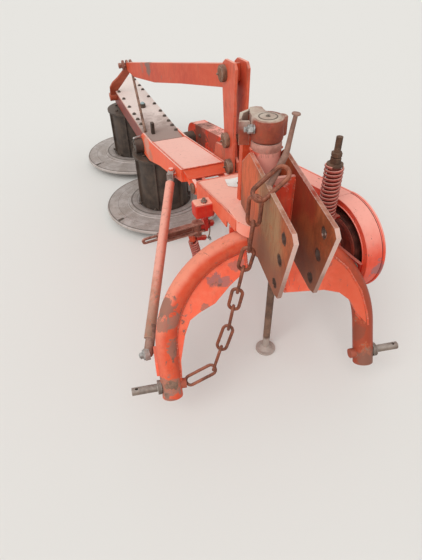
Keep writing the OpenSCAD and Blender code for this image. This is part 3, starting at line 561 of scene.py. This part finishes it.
DRESS = {
    "hitch_arch": ("arch", 0), "arch_webs": ("web", 1.6), "hitch_pins": ("pin", 2.0),
    "toplink_plates": ("plate", 2.4), "tower_tube": ("tower", 1.6), "kingpin": ("block", 1.5),
    "jack_sleeve": ("shaded", 1.0), "jack_leg": ("foot", 1.5), "lift_chain": ("chain", 0),
    "chain_pin": ("pin", 1.0), "arm_box": ("arm", 1.6), "swing_block": ("block", 3.5),
    "swing_strap": ("frame", 1.8), "side_block": ("shaded", 1.4), "yoke_box": ("yoke", 1.5),
    "yoke_cheeks": ("yoke", 1.5), "hinge_pin": ("iron", 1.2), "mast_plates": ("mast", 2.0),
    "mast_lug": ("mast", 2.0), "mast_pins": ("iron", 2.5), "lift_bar": ("bar", 1.8),
    "bar_knuckle": ("lever", 2.0), "brace_plate": ("brace", 1.6), "stay_rod": ("iron", 0),
    "beam": ("beam", 3.0), "beam_cover": ("cover", 1.6), "gear_boss": ("soot", 2.0),
    "beam_lug": ("soot", 1.5), "belt_guard": ("guard", 1.2), "pulley_housing": ("guard", 1.2),
    "drive_belts": ("belt", 0), "input_bearing": ("shaded", 1.5), "spring_coil": ("spring", 0),
    "spring_rod": ("rod", 1.0), "spring_seat": ("shaded", 1.2), "lever_hanger": ("shaded", 1.2),
    "slot_lever": ("lever", 1.0), "lever_spring": ("spring", 0), "input_pulley": ("pulley", 1.0),
    "small_pulley": ("rubbed", 1.0), "drum_near": ("soot", 1.5), "disc_near": ("disc_near", 0),
    "skid_near": ("skid", 0), "drum_far": ("soot", 1.5), "disc_far": ("disc_far", 0),
    "skid_far": ("skid", 0), "strut_tube": ("strut", 0), "strut_ends": ("rubbed", 1.2),
}
for node_name, how in DRESS.items():
    dress(node_name, *how)


# Shapes: each gives vertices and faces, in millimetres, standing on its own Z
def lathe(profile, seg=32, hexed=()):
    """Profile of (radius, z) turned round Z; the rows listed in hexed are six-sided."""
    verts, faces, rows = [], [], []
    for k, (r, z) in enumerate(profile):
        if r <= 0:
            rows.append([len(verts)])
            verts.append((0, 0, z))
            continue
        rows.append(list(range(len(verts), len(verts) + seg)))
        for i in range(seg):
            a = 2 * math.pi * i / seg
            q = r / math.cos((a + math.pi / 6) % (math.pi / 3) - math.pi / 6) if k in hexed else r
            verts.append((q * math.cos(a), q * math.sin(a), z))
    for low, high in zip(rows, rows[1:]):
        for i in range(seg):
            j = (i + 1) % seg
            if len(low) == 1:
                faces.append((low[0], high[j], high[i]))
            elif len(high) == 1:
                faces.append((low[i], low[j], high[0]))
            else:
                faces.append((low[i], low[j], high[j], high[i]))
    return verts, faces


def nut(flats, height):
    r, c = flats / 2, flats * 0.055
    profile = [(0, 0), (r * 0.93, 0), (r, c), (r, height - c), (r * 0.93, height), (0, height)]
    return lathe(profile, 36, hexed=(2, 3))


def washer(r, height):
    return lathe([(0, 0), (r - 0.6, 0), (r, 0.6), (r, height - 0.6), (r - 0.6, height), (0, height)])


def thread(r, length, pitch=2.0):
    rows, z = [(0, 0), (r - pitch * 0.5, 0)], 0.0
    while z + pitch <= length:
        rows += [(r, z + pitch * 0.35), (r, z + pitch * 0.5), (r - pitch * 0.5, z + pitch)]
        z += pitch
    return lathe(rows + [(0, z)], 24)


def dome(r, height):
    quarter = [math.pi / 2 * i / 6 for i in range(6)]
    return lathe([(0, 0)] + [(r * math.cos(a), height * math.sin(a)) for a in quarter] + [(0, height)], 28)


def tube(points, radius, seg=10, closed=False):
    """Round bar along points; radius is a number or one for each point."""
    pts = [Vector(p) for p in points]
    n = len(pts)
    verts, faces = [], []
    side = None
    for i, p in enumerate(pts):
        before = pts[i - 1] if (i or closed) else p
        after = pts[(i + 1) % n] if (i < n - 1 or closed) else p
        ahead = (after - before).normalized()
        if side is None:
            side = ahead.orthogonal().normalized()
        side = (side - ahead * side.dot(ahead)).normalized()
        other = ahead.cross(side)
        r = radius[i] if isinstance(radius, (list, tuple)) else radius
        for j in range(seg):
            a = 2 * math.pi * j / seg
            verts.append(tuple(p + side * (r * math.cos(a)) + other * (r * math.sin(a))))
    for i in range(n if closed else n - 1):
        for j in range(seg):
            a, b = i * seg + j, i * seg + (j + 1) % seg
            c = (i + 1) % n * seg
            faces.append((a, b, c + (j + 1) % seg, c + j))
    if not closed:
        faces.append(tuple(reversed(range(seg))))
        faces.append(tuple(range((n - 1) * seg, n * seg)))
    return verts, faces


def prism(outline, low, high):
    n = len(outline)
    verts = [(x, y, low) for x, y in outline] + [(x, y, high) for x, y in outline]
    faces = [tuple(reversed(range(n))), tuple(range(n, 2 * n))]
    faces += [(i, (i + 1) % n, n + (i + 1) % n, n + i) for i in range(n)]
    return verts, faces


def side_prism(outline, low, high):
    """A side outline of (y, z) carried from one x to another."""
    verts, faces = prism(outline, low, high)
    return [(x, y, z) for y, z, x in verts], faces


def winding(start, end, radius, wire, turns):
    """A wound spring between two points."""
    a, b = Vector(start), Vector(end)
    axis = (b - a).normalized()
    side = axis.orthogonal().normalized()
    other = axis.cross(side)
    steps = round(turns * 26)
    pts = []
    for i in range(steps + 1):
        w = 2 * math.pi * turns * i / steps
        pts.append(tuple(a.lerp(b, i / steps) + side * radius * math.cos(w) + other * radius * math.sin(w)))
    return tube(pts, wire, 8)


def arc(cx, cy, r, start, end, steps):
    """Points on a circle from one angle to another, in degrees."""
    angles = [math.radians(start + (end - start) * i / steps) for i in range(steps + 1)]
    return [(cx + r * math.cos(a), cy + r * math.sin(a)) for a in angles]


def hoop(x, r, wire, start=0, end=360):
    """A wire round the pulley's axis, whole or from one angle to another."""
    closed = end - start == 360
    ring = arc(0, PULLEY_Z, r, start, end, 96)
    return tube([(x, y, z) for y, z in (ring[:-1] if closed else ring)], wire, 10, closed)


def bead(points, r=4.5):
    """A hand-laid weld: a low round bar whose thickness ripples along its length."""
    pts = [Vector(p) for p in points]
    out, size = [], []
    run = 0.0
    for a, b in zip(pts, pts[1:]):
        length = (b - a).length
        steps = max(1, round(length / 2.6))
        for i in range(steps):
            wobble = Vector((rng.uniform(-0.5, 0.5), rng.uniform(-0.5, 0.5), rng.uniform(-0.5, 0.5)))
            out.append(a.lerp(b, i / steps) + wobble)
            ripple = abs(math.sin(math.pi * (run + length * i / steps) / 7.0))
            size.append(r * (0.86 + 0.26 * ripple + rng.uniform(-0.05, 0.05)))
        run += length
    out.append(pts[-1])
    size.append(r * 0.7)
    size[0] = r * 0.7
    return tube(out, size, 8)


def bent_sheet(outline, thick, height, rows=6):
    """A thin sheet over an outline: a grid clipped to it, lifted by height(x, u)."""
    n = len(outline)
    m = n * 4
    half = 1 + rows * m
    cx, cy = sum(p[0] for p in outline) / n, sum(p[1] for p in outline) / n
    verts, faces = [], []
    for top in (0, 1):
        verts.append((cx, cy, height(cx, cy) + thick * top))
        for k in range(1, rows + 1):
            for i in range(m):
                a, b = outline[i // 4], outline[(i // 4 + 1) % n]
                t = (i % 4) / 4
                x = cx + (a[0] + (b[0] - a[0]) * t - cx) * k / rows
                y = cy + (a[1] + (b[1] - a[1]) * t - cy) * k / rows
                verts.append((x, y, height(x, y) + thick * top))
    for top in (0, 1):
        base = half * top
        for i in range(m):
            j = (i + 1) % m
            cells = [(base, base + 1 + i, base + 1 + j)]
            for k in range(rows - 1):
                r0, r1 = base + 1 + k * m, base + 1 + (k + 1) * m
                cells.append((r0 + i, r1 + i, r1 + j, r0 + j))
            faces += cells if top else [tuple(reversed(cell)) for cell in cells]
    low, high = 1 + (rows - 1) * m, half + 1 + (rows - 1) * m
    for i in range(m):
        j = (i + 1) % m
        faces.append((low + i, low + j, high + j, high + i))
    return verts, faces


def at(shape, place, axis=(0, 0, 1), spin=0.0):
    """The shape moved to a place, with its Z along the axis."""
    turned = Vector(axis).normalized().to_track_quat("Z", "Y").to_matrix().to_4x4()
    m = Matrix.Translation(place) @ turned @ turn(spin, "Z")
    return [tuple(m @ Vector(v)) for v in shape[0]], shape[1]


def thing(name, data):
    """A new object in the scene."""
    obj = bpy.data.objects.new(name, data)
    bpy.context.scene.collection.objects.link(obj)
    return obj


def piece(name, shapes, where, body, mat, round_off=0, steps=2):
    """Shapes in a frame of the source as one object that rides on a body, its edges rounded if wanted."""
    verts, faces = [], []
    for v, f in shapes:
        base = len(verts)
        verts += [where @ Vector(p) for p in v]
        faces += [tuple(base + i for i in face) for face in f]
    mesh = bpy.data.meshes.new(name)
    mesh.from_pydata(verts, [], faces)
    mesh.materials.append(FINISHES[mat])
    mesh.shade_smooth()
    mesh.set_sharp_from_angle(angle=math.radians(38))
    obj = thing(name, mesh)
    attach(obj, body)
    if round_off:
        edge = obj.modifiers.new("round", "BEVEL")
        edge.width, edge.segments, edge.angle_limit = round_off / 1000, steps, math.radians(40)
    return obj


def bolts(name, rows, where, body, mat):
    """A nut on its washer for each row of across flats, height, place and axis."""
    shapes = []
    for flats, height, place, axis in rows:
        spin = rng.uniform(0, 60)
        shapes.append(at(washer(flats * 0.7375, 2.2), place, axis))
        shapes.append(at(nut(flats, height), place, axis, spin))
    piece(name, shapes, where, body, mat)


# Nuts by their thread: across flats and height
M8, M10, M12, M24 = (13, 7), (17, 9), (19, 10), (36, 13)

# Welds of the bent pipe, in its own plane
SEAM_R = 328
SEAM_Z = 6
EDGE_Z = 34
left_seam = [(-SEAM_R, 10, SEAM_Z), (-SEAM_R, 125, SEAM_Z)]
left_seam += [(x, y, SEAM_Z) for x, y in arc(0, 125, SEAM_R, 180, 100, 40)]
right_edge = [(366, 119), (362, 165), (340, 253), (290, 344), (220, 414), (140, 460), (60, 483)]
right_foot = [(323, 172, 25), (344, 140, 25), (364, 119, 27)]
piece("arch_welds", [
    bead(left_seam, 5), bead([(x, y, EDGE_Z) for x, y in right_edge]), bead(right_foot),
    bead([(-59, 384, 7), (-59, 452, 7)], 5), bead([(60, 292, 37), (60, 446, 37)], 5),
], ARCH, "headstock", "bead")

# Welds of the tower, beside the plates and round its foot
tower_seams = [((84, 700), (84, 925)), ((210, 962), (232, 962))]
piece("tower_welds",
      [bead([(side * PLATE_X, y, z) for y, z in seam], 4) for seam in tower_seams for side in SIDES]
      + [bead([(73, 243, 474), (73, 243, 556)], 3.5)],
      HITCH, "headstock", "bead")


def box_welds(name, top_line, size, end, end_half, end_size, body):
    """Along both upper edges of a box on the bar, and across its end."""
    edges = [bead([(side * BAR_HALF, u, z) for u, z in top_line], size) for side in SIDES]
    piece(name, edges + [bead([(side * end_half, *end) for side in SIDES], end_size)], BAR, body, "bead")


ARM_TOP = [(60, 734), (376, 688)]
box_welds("arm_welds", ARM_TOP, 3.6, (376, 687), 88, 3.6, "arm")
box_welds("yoke_welds", [(562, 656), (1108, 563)], 3.2, (560, 655), 90, 3.0, "mower_bar")

# Bolts of the beam's cover: their x, then their places along the beam
COVER_Z = 545
cover_bolts = {84: (1259, 1334, 1408, 1496, 1589, 1732, 1885, 2048, 2148, 2300),
               -80: (1420, 1505, 1600, 1736, 1905, 2064, 2205)}
bolts("cover_bolts", [(*M10, (x, u, COVER_Z), UP) for x, row in cover_bolts.items() for u in row],
      BAR, "mower_bar", "soot")

# Mast pins: domed and nippled on one end, a nut on the other
MAST_PINS = [(455, 686), (490, 783), (524, 1027)]
NIPPLE = [(0, 0), (3, 0), (3, 5), (4, 6), (4, 8), (2, 11), (0, 11)]
piece("pivot_ends", [at(dome(24, 5), (64, u, z), (-1, 0, 0)) for u, z in MAST_PINS]
      + [at(lathe(NIPPLE, 16), (60, u, z), (-1, 0, 0)) for u, z in MAST_PINS], BAR, "mower_bar", "iron")
bolts("pivot_nuts", [(*M24, (154, u, z), (1, 0, 0)) for u, z in MAST_PINS], BAR, "mower_bar", "iron")

# Cast head on the kingpin: round boss, body, hollow wing at its back, and the nut that clamps it
NUT_AXIS = (-0.96, 0.28, 0)
piece("block_nut", [
    at(washer(13, 3), (-44, -9, 1027), NUT_AXIS), at(nut(22, 17), (-47, -8, 1027), NUT_AXIS, 12),
    at(thread(7.5, 10), (-63, -3.5, 1027), NUT_AXIS),
], BAR, "arm", "bright")
boss = [(0, 989), (42, 989), (46, 991), (47, 995), (47, 1046), (45.5, 1051), (43, 1052.5), (0, 1052.5)]
small_boss = [(0, 990), (15, 990), (17, 992), (17, 1042), (14, 1046), (0, 1047)]
head_body = [(-42, 6), (-30, -20), (20, -20), (44, 10), (34, 26), (22, 30), (15, 46), (19, 80), (5, 90),
             (-16, 90), (-31, 52)]
wing_back = [(-77, 26), (-68, 28), (-46, 64), (-24, 76), (-16, 90), (-30, 84), (-54, 72)]
wing_front = [(-77, 26), (-47, 15), (-47, 23), (-72, 34)]
head = piece("swing_head", [
    at(lathe(boss, 64), (0, 0, 0)), prism(head_body, 988, 1052), prism(wing_back, 972, 1048),
    prism(wing_front, 972, 1041), at(lathe(small_boss), (50, 10, 0)),
], BAR, "arm", "block", 2.5, 3)
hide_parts("swing_block")
# Painted shade: a dark red floor in the hollow of the wing.
recess_shade = [(-75, 29), (-48, 17), (-30, 52), (-20, 84), (-50, 68)]
piece("head_recess_shade", [prism(recess_shade, 974, 1012)], BAR, "arm", "recess_shade")

# Neck of the tower below the head, and the bent pin that the chain hangs from
collar = [(0, 946), (42, 946), (45, 950), (45, 982), (43, 986), (0, 986)]
piece("tower_collar", [at(lathe(collar, 56), (0, KING_Y, 0))], HITCH, "headstock", "collar")
pin_line = [(24, 80, 1105), (16, 73, 1076), (8, 66, 1042), (4, 63, 1024), (-2, 59, 1009), (-12, 53, 994),
            (-51, 30, 937)]
pin_head = [(0, 0), (9, 0), (11.5, 2), (11.5, 5), (9, 7.5), (4, 8), (0, 8)]
bent = piece("bent_pin", [
    tube(pin_line, [5.5, 6.2, 6.8, 7.6, 8.6, 9, 8.5], 20),
    at(lathe(pin_head, 28), (24, 80, 1102), (0.15, 0.1, 1)),
], HITCH, "headstock", "strut_end")
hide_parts("chain_pin")

# Painted shade: a dark ring on the kingpin's top at its gap to the head, and the greasing nipple in the
# kingpin's top
gap_shade_ring = [(25.2, 0), (27.6, 0), (27.6, 0.8), (25.2, 0.8)]
piece("king_gap_shade", [at(lathe(gap_shade_ring, 48), (0, 0, 1052.6))], BAR, "arm", "soot")
king_nipple = [(0, 0), (6, 0), (6, 5), (3.4, 6), (3.4, 7), (4.2, 8), (2, 10), (0, 10)]
piece("king_nipple", [at(lathe(king_nipple, 20), (0, KING_Y, 1049))], HITCH, "headstock", "dull")

# Pin that locks the jack
jack_pin = [(0, 0), (5, 0), (6, 1), (6, 74), (5, 75), (0, 75)]
piece("jack_pin", [
    at(lathe(jack_pin, 20), (77, 303, 530), (0, -1, 0)), at(washer(12, 4), (77, 291, 530), (0, -1, 0)),
], HITCH, "headstock", "iron")


# Blank tag lying on the arm, and a stud beside the plate
def tag_height(x, u):
    (start, high), (end, low) = ARM_TOP
    arm = high - (u - start) * (high - low) / (end - start)
    return arm + 1.5 + 0.002 * (x - 20) ** 2 + 0.0012 * (u - 280) ** 2


tag = [(-8, 264), (22, 236), (52, 258), (68, 322), (6, 330)]
piece("blank_tag", [bent_sheet(tag, 1.2, tag_height)], BAR, "arm", "white")
piece("arm_stud", [at(thread(10, 52, 4.0), (46, 262, 702)), at(nut(30, 10), (46, 262, 704))],
      BAR, "arm", "dull")

# Housing of the belt drive: rolled rims, seams and bolts
GUARD_ENDS = ((0, PULLEY_Z), (math.hypot(PULLEY_X - SMALL_PULLEY_X, DRUM_U - PULLEY_U), GEAR_Z))
GUARD_TILT = math.atan2(GUARD_ENDS[1][1] - GUARD_ENDS[0][1], GUARD_ENDS[1][0])
GUARD_SPREAD = math.acos((HOUSING_R - GUARD_END_R) / math.dist(*GUARD_ENDS))
OPEN_SIDE = (81, 279)


def guard_line(x, side):
    """Long edge of the guard above (side 1) or below (side -1), from the round housing to the small end."""
    a = GUARD_TILT + side * GUARD_SPREAD
    radii = (HOUSING_R, GUARD_END_R)
    return [(x, y + r * math.cos(a), z + r * math.sin(a)) for (y, z), r in zip(GUARD_ENDS, radii)]


piece("housing_rims", [
    hoop(37.5, HOUSING_R + 0.5, 4.4, *OPEN_SIDE), hoop(-39.5, HOUSING_R - 1, 3.4, *OPEN_SIDE),
    hoop(-41, HOUSING_R - 22, 2.6),
], DRIVE, "mower_bar", "guard")
# Painted shade: a thin dark line along the housing's crease.
piece("housing_crease_shade", [hoop(29, HOUSING_R - 0.4, 1.5, *OPEN_SIDE)], DRIVE, "mower_bar", "recess_shade")
piece("guard_seams", [tube(guard_line(x, side), 3.2) for x in (-40, 38) for side in (1, -1)],
      DRIVE, "mower_bar", "guard")
guard_spots = ((230, 600), (230, 400), (700, 520), (1200, 500))
bolts("guard_bolts", [(*M10, (side * 41, y, z), (side, 0, 0)) for side in SIDES for y, z in guard_spots],
      DRIVE, "mower_bar", "dull")
bolts("bearing_bolts", [(*M12, (-53, y, PULLEY_Z), (-1, 0, 0)) for y in (-150, -72, 72, 150)],
      DRIVE, "mower_bar", "dull")

# Belt tightener: a dark sleeve inside the spring, painted shade between its coils; thread of its rod
SPRING_FOOT = (-90, 10)
sleeve = [(0, 0), (21, 0), (22, 2), (22, 194), (21, 196), (0, 196)]
piece("spring_shade_sleeve", [at(lathe(sleeve), (*SPRING_FOOT, 638))], DRIVE, "mower_bar", "pulley")
piece("rod_thread", [
    at(thread(11.4, 20, 3.0), (*SPRING_FOOT, 880)), at(thread(11.4, 3, 3.0), (*SPRING_FOOT, 862)),
], DRIVE, "mower_bar", "rod")
# Painted shadow: a black strip on the cover where the yoke's top steps down to it.
piece("cover_gap_shadow", [prism([(-82, 1110), (82, 1110), (82, 1142), (-82, 1142)], 544.6, 546.2)],
      BAR, "mower_bar", "shadow_black")

# Flattened foot of the strut, with its washer and nut
FOOT = Vector((-438, -19.5, 250))
FOOT_AHEAD = (Vector((-120, 655, 597)) - FOOT).normalized()
foot_line = {-14: 8, -6: 16, 4: 19, 20: 18.5, 60: 18, 90: 19, 112: 20.5}
foot = tube([tuple(FOOT + FOOT_AHEAD * d) for d in foot_line], list(foot_line.values()), 24)
piece("strut_foot", [foot], BAR, "strut", "strut_end")
piece("strut_washer", [
    at(washer(20, 5), (-453, -19, 250), (-1, 0, 0)), at(nut(24, 12), (-458, -19, 250), (-1, 0, 0), 20),
    at(thread(8, 5), (-469, -19, 250), (-1, 0, 0)),
], BAR, "strut", "bright")

# Plates over the arm and the yoke: side block's cover, yoke's front above the hinge, arm's deep side and nose
side_plan = [(-160, 196), (-86, 196), (-86, 250), (-160, 250)]
piece("side_cover", [prism(side_plan, 633, 692)], BAR, "arm", "side", 9, 4)
apron = [(559, 651), (483, 647), (483, 642), (559, 645)]
piece("yoke_apron", [side_prism(apron, -BAR_HALF, BAR_HALF)], BAR, "mower_bar", "apron", 1.2)
skirt = [(376, 689), (60, 735), (-8, 743), (-8, 697), (63, 697), (68, 668), (110, 667), (200, 663),
         (240, 650), (376, 612)]
piece("arm_skirt", [side_prism(skirt, -95.5, -90.5)], BAR, "arm", "skirt", 1.2)
piece("arm_nose", [prism([(-92, 62), (-92, -25), (88, -25), (88, 62)], 739, 744.4)], BAR, "arm", "arm", 1.2)

# Spring and links below the slotted lever
LEAN = (-0.19, 0, 1)
seat = [(0, 0), (22, 0), (23, 1), (23, 4), (22, 5), (0, 5)]
low_spring = piece("lever_coil", [
    winding((-92, 473, 342), (-76, 473, 262), 18.5, 4.4, 6.6),
    tube([(-97, 473, 372), (-72, 473, 246)], 6, 14),
    at(lathe(seat, 28), (-75.5, 473, 254), LEAN), at(nut(24, 11), (-73.5, 473, 243), LEAN, 10),
], BAR, "mower_bar", "spring")
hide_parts("lever_spring")
cap = [(0, 0), (15, 0), (16, 2), (16, 28), (12, 34), (0, 35)]
piece("lever_cap", [at(lathe(cap, 8), (-92, 473, 345), LEAN)], BAR, "mower_bar", "bar", 1.5)
sleeve_line = [(-76, 471, 356), (-72, 471, 355), (-34, 470, 348), (-31, 470, 347)]
piece("lever_tube", [tube(sleeve_line, [11, 13, 13, 11], 20)], BAR, "mower_bar", "shaded")
piece("lever_pin", [
    tube([(-34, 470, 350), (-10, 470, 336)], 4, 12), tube([(-12, 470, 344), (-8, 470, 328)], 5.5, 12),
], BAR, "mower_bar", "bright")
roller_line = [(-72, 478, 388), (-68, 478, 389), (-18, 480, 393), (-14, 480, 394)]
piece("lever_roller", [tube(roller_line, [8, 10, 10, 8], 20)], BAR, "mower_bar", "chain")
hook = [(-12, 486, 432), (-7, 484, 424), (-5, 482, 400), (-6, 480, 370), (-10, 478, 352), (-16, 476, 342)]
piece("lever_hook", [tube(hook, 2.8)], BAR, "mower_bar", "iron")

# Bolt of the side block, bolts and handle of the gear boss, filler plug
piece("side_bolt", [at(nut(20, 12), (-122, 214, 689), spin=15), at(thread(6, 10, 1.8), (-122, 214, 700))],
      BAR, "arm", "dull")
bolts("boss_bolts", [(*M8, (-150, DRUM_U + 32 * math.cos(a), GEAR_Z + 32 * math.sin(a)), (-1, 0, 0))
                     for a in (0.6, 2.2, 3.8, 5.4)], BAR, "mower_bar", "soot")
handle = [(-153, 1337, 504), (-149, 1338, 504), (-88, 1356, 504), (-84, 1357, 504)]
piece("boss_handle", [tube(handle, [3, 6, 6.5, 4], 16)], BAR, "mower_bar", "bright")
piece("filler_plug", [at(nut(24, 8), (0, 1700, 567)), at(dome(9, 5), (0, 1700, 575))],
      BAR, "mower_bar", "teal")

# Discs: bolts of the dish as rows of angle past the group's, radius and seat height; outline of a knife slot
DISH_BOLTS = [(0, 150, 77), (14, 168, 90), (60, 160, 90)]
SLOT_SHAPE = [(-30, -9), (24, -7), (32, 0), (24, 7), (-30, 9)]


def disc_trim(rotor, u, body, angles):
    """Trim of one rotor, its groups of bolts at the given angles."""
    def on(r, a, z):
        return (r * math.cos(math.radians(a)), u + r * math.sin(math.radians(a)), z)
    bolt_shapes, slot_shades = [], []
    for a in angles:
        for past, r, seat_z in DISH_BOLTS:
            bolt_shapes.append(at(washer(9, 3), on(r, a + past, seat_z)))
            bolt_shapes.append(at(nut(11, 6), on(r, a + past, seat_z + 2), spin=rng.uniform(0, 60)))
    piece(rotor + "_disc_bolts", bolt_shapes, BAR, body, "soot")
    # Painted shade: dark plates lying on the disc where its knife slots are.
    for a in (-157.5, -37.5, 82.5):
        slot_shades.append(at(prism(SLOT_SHAPE, 0, 2.2), on(328, a, 73), spin=a))
    piece(rotor + "_knife_slot_shades", slot_shades, BAR, body, "soot")
    caps = [at(nut(*M10), on(118, a, 404), spin=rng.uniform(0, 60)) for a in range(20, 380, 60)]
    piece(rotor + "_cap_bolts", caps, BAR, body, "soot")


disc_trim("near", DRUM_U, "near_rotor", (-14, 173, 80))
disc_trim("far", DRUM_U + DRUM_PITCH, "far_rotor", (-40, 150, 60))


def lay_floor(half=30):
    """A plain pale floor."""
    corners = [(-half, -half, 0), (half, -half, 0), (half, half, 0), (-half, half, 0)]
    mesh = bpy.data.meshes.new("floor")
    mesh.from_pydata(corners, [], [(0, 1, 2, 3)])
    floor = thing("floor", mesh)
    mat = bpy.data.materials.new("floor_pale")
    mat.use_nodes = True
    shader = mat.node_tree.nodes["Principled BSDF"]
    shader.inputs["Base Color"].default_value = rgb(226, 224, 219)
    shader.inputs["Roughness"].default_value = 0.9
    mesh.materials.append(mat)


def light_studio():
    """Even white light all round, seen as a pale backdrop, and one broad lamp from the front left."""
    world = bpy.data.worlds.new("studio")
    world.use_nodes = True
    tree = world.node_tree
    tree.nodes.clear()
    ambient, seen = tree.nodes.new("ShaderNodeBackground"), tree.nodes.new("ShaderNodeBackground")
    ambient.inputs[0].default_value = (1.0, 1.0, 1.0, 1)
    ambient.inputs[1].default_value = 0.66
    seen.inputs[0].default_value = rgb(236, 235, 232)
    path, either = tree.nodes.new("ShaderNodeLightPath"), tree.nodes.new("ShaderNodeMath")
    either.operation = "MAXIMUM"
    mix, out = tree.nodes.new("ShaderNodeMixShader"), tree.nodes.new("ShaderNodeOutputWorld")
    for start, end in ((path.outputs["Is Camera Ray"], either.inputs[0]),
                       (path.outputs["Is Glossy Ray"], either.inputs[1]), (either.outputs[0], mix.inputs[0]),
                       (ambient.outputs[0], mix.inputs[1]), (seen.outputs[0], mix.inputs[2]),
                       (mix.outputs[0], out.inputs[0])):
        tree.links.new(start, end)
    bpy.context.scene.world = world
    lamp = bpy.data.lights.new("key", "SUN")
    lamp.energy = 1.72
    lamp.angle = math.radians(48)
    key = thing("key", lamp)
    key.rotation_euler = Vector((-0.46, -0.56, 0.69)).to_track_quat("Z", "Y").to_euler()


# The photograph's camera: its place in metres, its turns in degrees, its focal length and height in pixels
EYE = (-0.27886, -2.18155, 1.486)
YAW, PITCH, ROLL = (math.radians(a) for a in (10.6242, 40.7876, -1.293))
FOCAL, PICTURE = 428.035, 560
SENSOR = 36.0


def photo_camera():
    """The camera that saw the photograph."""
    ahead = Vector((math.sin(YAW) * math.cos(PITCH), math.cos(YAW) * math.cos(PITCH), -math.sin(PITCH)))
    level = Vector((math.cos(YAW), -math.sin(YAW), 0))
    over = level.cross(ahead)
    right = level * math.cos(ROLL) + over * math.sin(ROLL)
    top = over * math.cos(ROLL) - level * math.sin(ROLL)
    data = bpy.data.cameras.new("photo")
    data.sensor_fit = "VERTICAL"
    data.sensor_height = SENSOR
    data.lens = FOCAL / PICTURE * SENSOR
    cam = thing("photo", data)
    cam.matrix_world = Matrix([(right[i], top[i], -ahead[i], EYE[i]) for i in range(3)] + [(0, 0, 0, 1)])
    bpy.context.scene.camera = cam


lay_floor()
light_studio()
photo_camera()
bpy.context.scene.view_settings.view_transform = "Standard"
